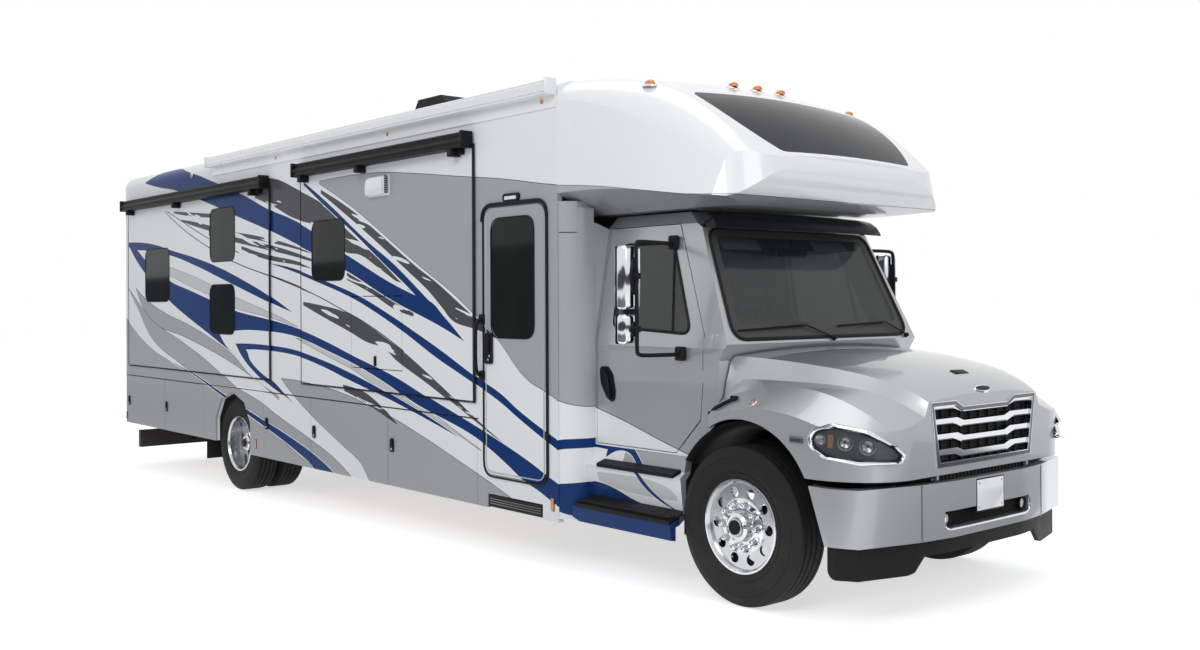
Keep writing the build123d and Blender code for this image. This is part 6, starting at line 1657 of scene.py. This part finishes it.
plate_at(bm, -2206, 2721, 210, 58, 28, -1283, -16)
plate_at(clear, -2206, 2716, 150, 26, 12, -1298, -5)
place_piece("porch_lamp_base", bm, "coach", black_plastic)
place_piece("porch_lamp_lens", clear, "coach", white_lens)
print("entry door dressed")

# %% [markdown]
# Clearance lamps are short spun profiles: a bright base and an amber dome. Rays seat them on
# the roof's slope. Side markers low down are small plates, and lamps of one colour share a piece.

# %% Lamps and small fittings
bases, oranges, reds, blacks = bmesh.new(), bmesh.new(), bmesh.new(), bmesh.new()
for y in (-1135, -261, 0, 261, 1135):
    seat, way = landing(("front_cap", "cap_window"), (-868, y, 4500), (0, 0, -1))
    if abs(y) > 1000:
        way = Vector((0, 0, 1))
        seat, _ = landing(("front_cap",), (-868, y * 0.965, 4500), (0, 0, -1))
    add_ring(bases, seat - way * 6, way, [(0.01, 0), (52, 0), (52, 12), (40, 20), (0.01, 20)], 28)
    dome = add_ring(oranges, (0, 0, 0), (0, 0, 1), [(0.01, 0), (36, 0), (36, 8), (30, 22), (16, 32),
                                                    (0.01, 34)], 28)
    bmesh.ops.scale(oranges, vec=(1.25, 0.85, 1), verts=dome)
    bmesh.ops.translate(oranges, vec=seat + way * 12, verts=dome)
for side in (-1, 1):
    for x in (-8406, -6206, -4016, -1818):
        seat, way = landing(("side_wall_right", "side_wall_left", "coach_roof", "front_cap"),
                            (x, side * 2000, 3395), (0, -side, 0))
        add_ring(bases, seat - way * 2, way, [(0.01, 0), (30, 0), (30, 6), (24, 10), (0.01, 10)], 24)
        add_ring(oranges, seat + way * 7, way, [(0.01, 0), (20, 0), (17, 10), (0.01, 14)], 20)
    for x, z, bm in ((-6729, 440, oranges), (-1721, 440, oranges), (-10566, 474, reds)):
        seat, way = landing(("side_wall_right", "side_wall_left", "bay_door_right_1", "bay_door_right_3",
                             "bay_door_right_5", "bay_door_left_1", "bay_door_left_2", "bay_door_left_3",
                             "cab_fairings", "rear_wall"), (x, side * 2000, z), (0, -side, 0))
        if seat is not None:
            plate_at(bm, x, z, 32, 92, 9, seat.y - side * 1, side * 9)
            plate_at(blacks, x, z, 40, 100, 12, seat.y - side * 1, side * 4)
for bm, name, tag, finish in ((bases, "marker_bases", "chrome", chrome),
                              (oranges, "amber_markers", "lamp_glass", amber),
                              (reds, "red_side_markers", "lamp_glass", red),
                              (blacks, "marker_gaskets", "black_plastic", black_plastic)):
    place_piece(name, bm, "coach", finish, smooth=40)
print("marker lamps seated")

# %% [markdown]
# The awning and the toppers are fabric on a roller: a tube, two rails and end brackets. Those
# over a slide-out ride on it, and the awning stays on the coach.

# %% Corner seams, mudflaps, awning and toppers
bm, black = bmesh.new(), bmesh.new()
for side in (-1, 1):
    plate_at(bm, -1660, 1500, 22, 2280, 4, side * (SKIN - 1), side * 5)
    across = Vector((0.86, side * 0.51, 0))
    line = []
    for k in range(9):
        start = Vector((-1515 - 16 * k, side * (1045 + 29 * k), 2425)) + across * 400
        line.append(landing(("cab_fairings",), start, -across)[0])
    add_tube(black, [p for p in line if p], 3.5, 8)
    add_block(black, (-8104, -8098), span(side, 940, 1245), (150, 620), round_by=2.5)
    add_block(black, (-8112, -8090), span(side, 930, 1255), (600, 640), round_by=4)
place_piece("corner_seam_strips", bm, "coach", coach_paint)
place_piece("mudflaps_and_seams", black, "coach", seal)
bm = bmesh.new()
add_tube(bm, [(-7780, -1384, 3452), (-1674, -1384, 3452)], 9, 10)
add_tube(bm, [(-7780, -1386, 3520), (-1674, -1386, 3520)], 5, 8)
for x in (-7794, -1672):
    add_block(bm, (x - 4, x + 16), (-1392, -1284), (3426, 3550), round_by=8, segments=3)
place_piece("awning_rails", bm, "coach", gelcoat)
for body, (rear, front, bottom, top) in SLIDES.items():
    bm = bmesh.new()
    low = top - 32
    add_tube(bm, [(rear + 20, -1378, low + 48), (front - 20, -1378, low + 48)], 26, 16)
    add_tube(bm, [(rear + 5, -1394, low + 108), (front - 5, -1394, low + 108)], 6, 8)
    add_tube(bm, [(rear + 5, -1396, low + 6), (front - 5, -1396, low + 6)], 5, 8)
    for x in (rear + 8, front - 40):
        add_block(bm, (x, x + 34), (-1409, -1296), (low - 6, low + 130), round_by=7, segments=3)
    for share in (0.05, 0.42, 0.93):
        x = rear + (front - rear) * share
        add_block(bm, (x - 32, x + 32), (-1392, -1296), (low - 60, low + 6), round_by=6, segments=2)
    place_piece("topper_roller_" + body, bm, body, black_plastic)
face = [v for v in (BACK @ w.co for w in frame["nodes"]["entry_step"].data.vertices) if v.y < -1270]
(rear, front), (bottom, top) = ((min(v[axis] for v in face), max(v[axis] for v in face)) for axis in (0, 2))
bm = bmesh.new()
frame_ring(bm, [(rear, bottom), (front, bottom), (front, top), (rear, top)], -1277, 11, -6)
for share in (0.3, 0.5, 0.7):
    z = bottom + (top - bottom) * share
    add_block(bm, (rear + 20, front - 20), (-1281, -1277), (z - 4, z + 4), round_by=1.5)
place_piece("entry_step_ribs", bm, "entry_step", dark_chrome)
print("coach side dressed; step face", [round(v) for v in (rear, front, bottom, top)])

# %% [markdown]
# ## The rear wall
# The rear stays plain: two clusters of round lamps, a row of red clearance lamps, a blank
# number plate in a frame and the eye of a camera.

# %% Rear lamps
bright, reds, oranges, whites, blacks = (bmesh.new() for _ in range(5))


def rear_point(y, z):
    """Where a level ray from behind meets the rear wall."""
    return landing(("rear_wall",), (-12000, y, z), (1, 0, 0))


for side in (-1, 1):
    for z, bm, radius in ((1300, reds, 52), (1165, oranges, 52), (1030, whites, 52)):
        seat, way = rear_point(side * 1120, z)
        add_ring(bright, seat - way * 2, way, [(radius + 1, 0), (radius + 16, 0), (radius + 13, 12),
                                               (radius + 4, 15), (radius + 1, 10)], 40)
        add_ring(bm, seat - way * 2, way, [(0.01, 0), (radius, 0), (radius - 2, 9), (radius * 0.6, 15),
                                           (0.01, 17)], 40)
for y in (-1050, -230, 0, 230, 1050):
    seat, way = rear_point(y, 3330)
    add_ring(blacks, seat - way * 2, way, [(0.01, 0), (34, 0), (34, 5), (26, 9), (0.01, 9)], 24)
    add_ring(reds, seat + way * 5, way, [(0.01, 0), (23, 0), (18, 12), (0.01, 15)], 20)
seat, way = rear_point(-620, 930)
add_block(blacks, (seat.x - 8, seat.x + 1), (-785, -455), (835, 1025), round_by=3)
add_block(whites, (seat.x - 10, seat.x - 7), (-772, -468), (852, 1008), round_by=1)
seat, way = rear_point(0, 3180)
add_block(blacks, (seat.x - 38, seat.x + 1), (-48, 48), (3135, 3210), round_by=12, segments=3)
add_ring(bright, seat - Vector((38, 0, 8)), Vector((-1, 0, -0.3)), [(8, -6), (16, -6), (16, 4), (8, 4)], 24)
for bm, name, tag, finish in ((bright, "rear_lamp_rims", "chrome", chrome),
                              (reds, "rear_red_lenses", "lamp_glass", red),
                              (oranges, "rear_amber_lenses", "lamp_glass", amber),
                              (whites, "rear_white_parts", "lamp_glass", white_lens),
                              (blacks, "rear_black_fittings", "black_plastic", black_plastic)):
    place_piece(name, bm, "coach", finish, smooth=40)
print("rear wall dressed")

# %% [markdown]
# ## The seats
# A seat shows its stuffing: the crown of each panel, the pinch at a seam, the roll of a bolster.
# Each cushion starts as a block with enough faces, is pulled in round its edge and swells
# towards its middle; a row of stitching grooves is pressed in and one subdivision rounds it.

# %% Cushions
def cushion(name, centre, size, crown, grooves, axis, lean=0.0):
    """A padded block: size along x, y and z, swelling by crown along axis, with grooves across y."""
    bm = bmesh.new()
    verts = bmesh.ops.create_cube(bm, size=1.0)["verts"]
    bmesh.ops.scale(bm, vec=size, verts=verts)
    rim = list(bm.edges)
    bmesh.ops.bevel(bm, geom=rim, offset=min(size) * 0.28, segments=3, affect="EDGES", profile=0.5,
                    material=-1)
    bmesh.ops.subdivide_edges(bm, edges=[e for e in bm.edges if e.calc_length() > 60], cuts=7,
                              use_grid_fill=True)
    thin = "xyz".index(axis)
    wide = [i for i in range(3) if i != thin]
    for vert in bm.verts:
        share = [vert.co[i] / (size[i] / 2) for i in range(3)]
        swell = (1 - share[wide[0]] ** 2) * (1 - share[wide[1]] ** 2)
        pressed = sum(max(0.0, 1 - abs(vert.co.y - g) / 9) for g in grooves)
        push = crown * swell - 7 * pressed * max(0, share[thin])
        vert.co[thin] += (1 if vert.co[thin] > 0 else -0.3) * push
    bmesh.ops.rotate(bm, cent=(0, 0, 0), matrix=Matrix.Rotation(radians(lean), 3, "Y"), verts=bm.verts)
    bmesh.ops.translate(bm, vec=centre, verts=bm.verts)
    made = place_piece(name, bm, "coach", seat_leather, smooth=60, subdivide=1)
    return made


parts = []
for side, label in ((-1, "right"), (1, "left")):
    y = side * 520
    parts.append(cushion("seat_cushion_" + label, (-1130, y, 1292), (456, 500, 104), 24, (-140, 140), "z"))
    parts.append(cushion("seat_back_" + label, (-1415, y, 1560), (122, 488, 520), 22, (-130, 130), "x"))
    parts.append(cushion("seat_head_rest_" + label, (-1415, y, 1925), (104, 290, 190), 18, (), "x"))
    for k, arm in ((-1, "inner"), (1, "outer")):
        parts.append(cushion("seat_arm_%s_%s" % (arm, label), (-1190, y + k * 232, 1470), (330, 62, 58), 8,
                             (), "z"))
    bm = bmesh.new()
    add_block(bm, (-1330, -950), (y - 165, y + 165), (1180, 1238), round_by=18, segments=3)
    for z, half in ((1005, 200), (1050, 150)):
        add_block(bm, (-1310, -970), (y - half, y + half), (z - 4, z + 40), round_by=12, segments=3)
    add_tube(bm, [(-1140, y, 1085), (-1140, y, 1190)], 62, 20)
    for k in (-1, 1):
        add_tube(bm, [(-1415, y + k * 70, 1800), (-1415, y + k * 70, 1850)], 7, 10)
    place_piece("seat_base_" + label, bm, "coach", black_plastic)
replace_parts(parts[0], "seats")
print("cushions", len(parts))

# %% Sizes and finish
low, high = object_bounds()
print("visual box", [round(v, 3) for v in (*low, *high)])
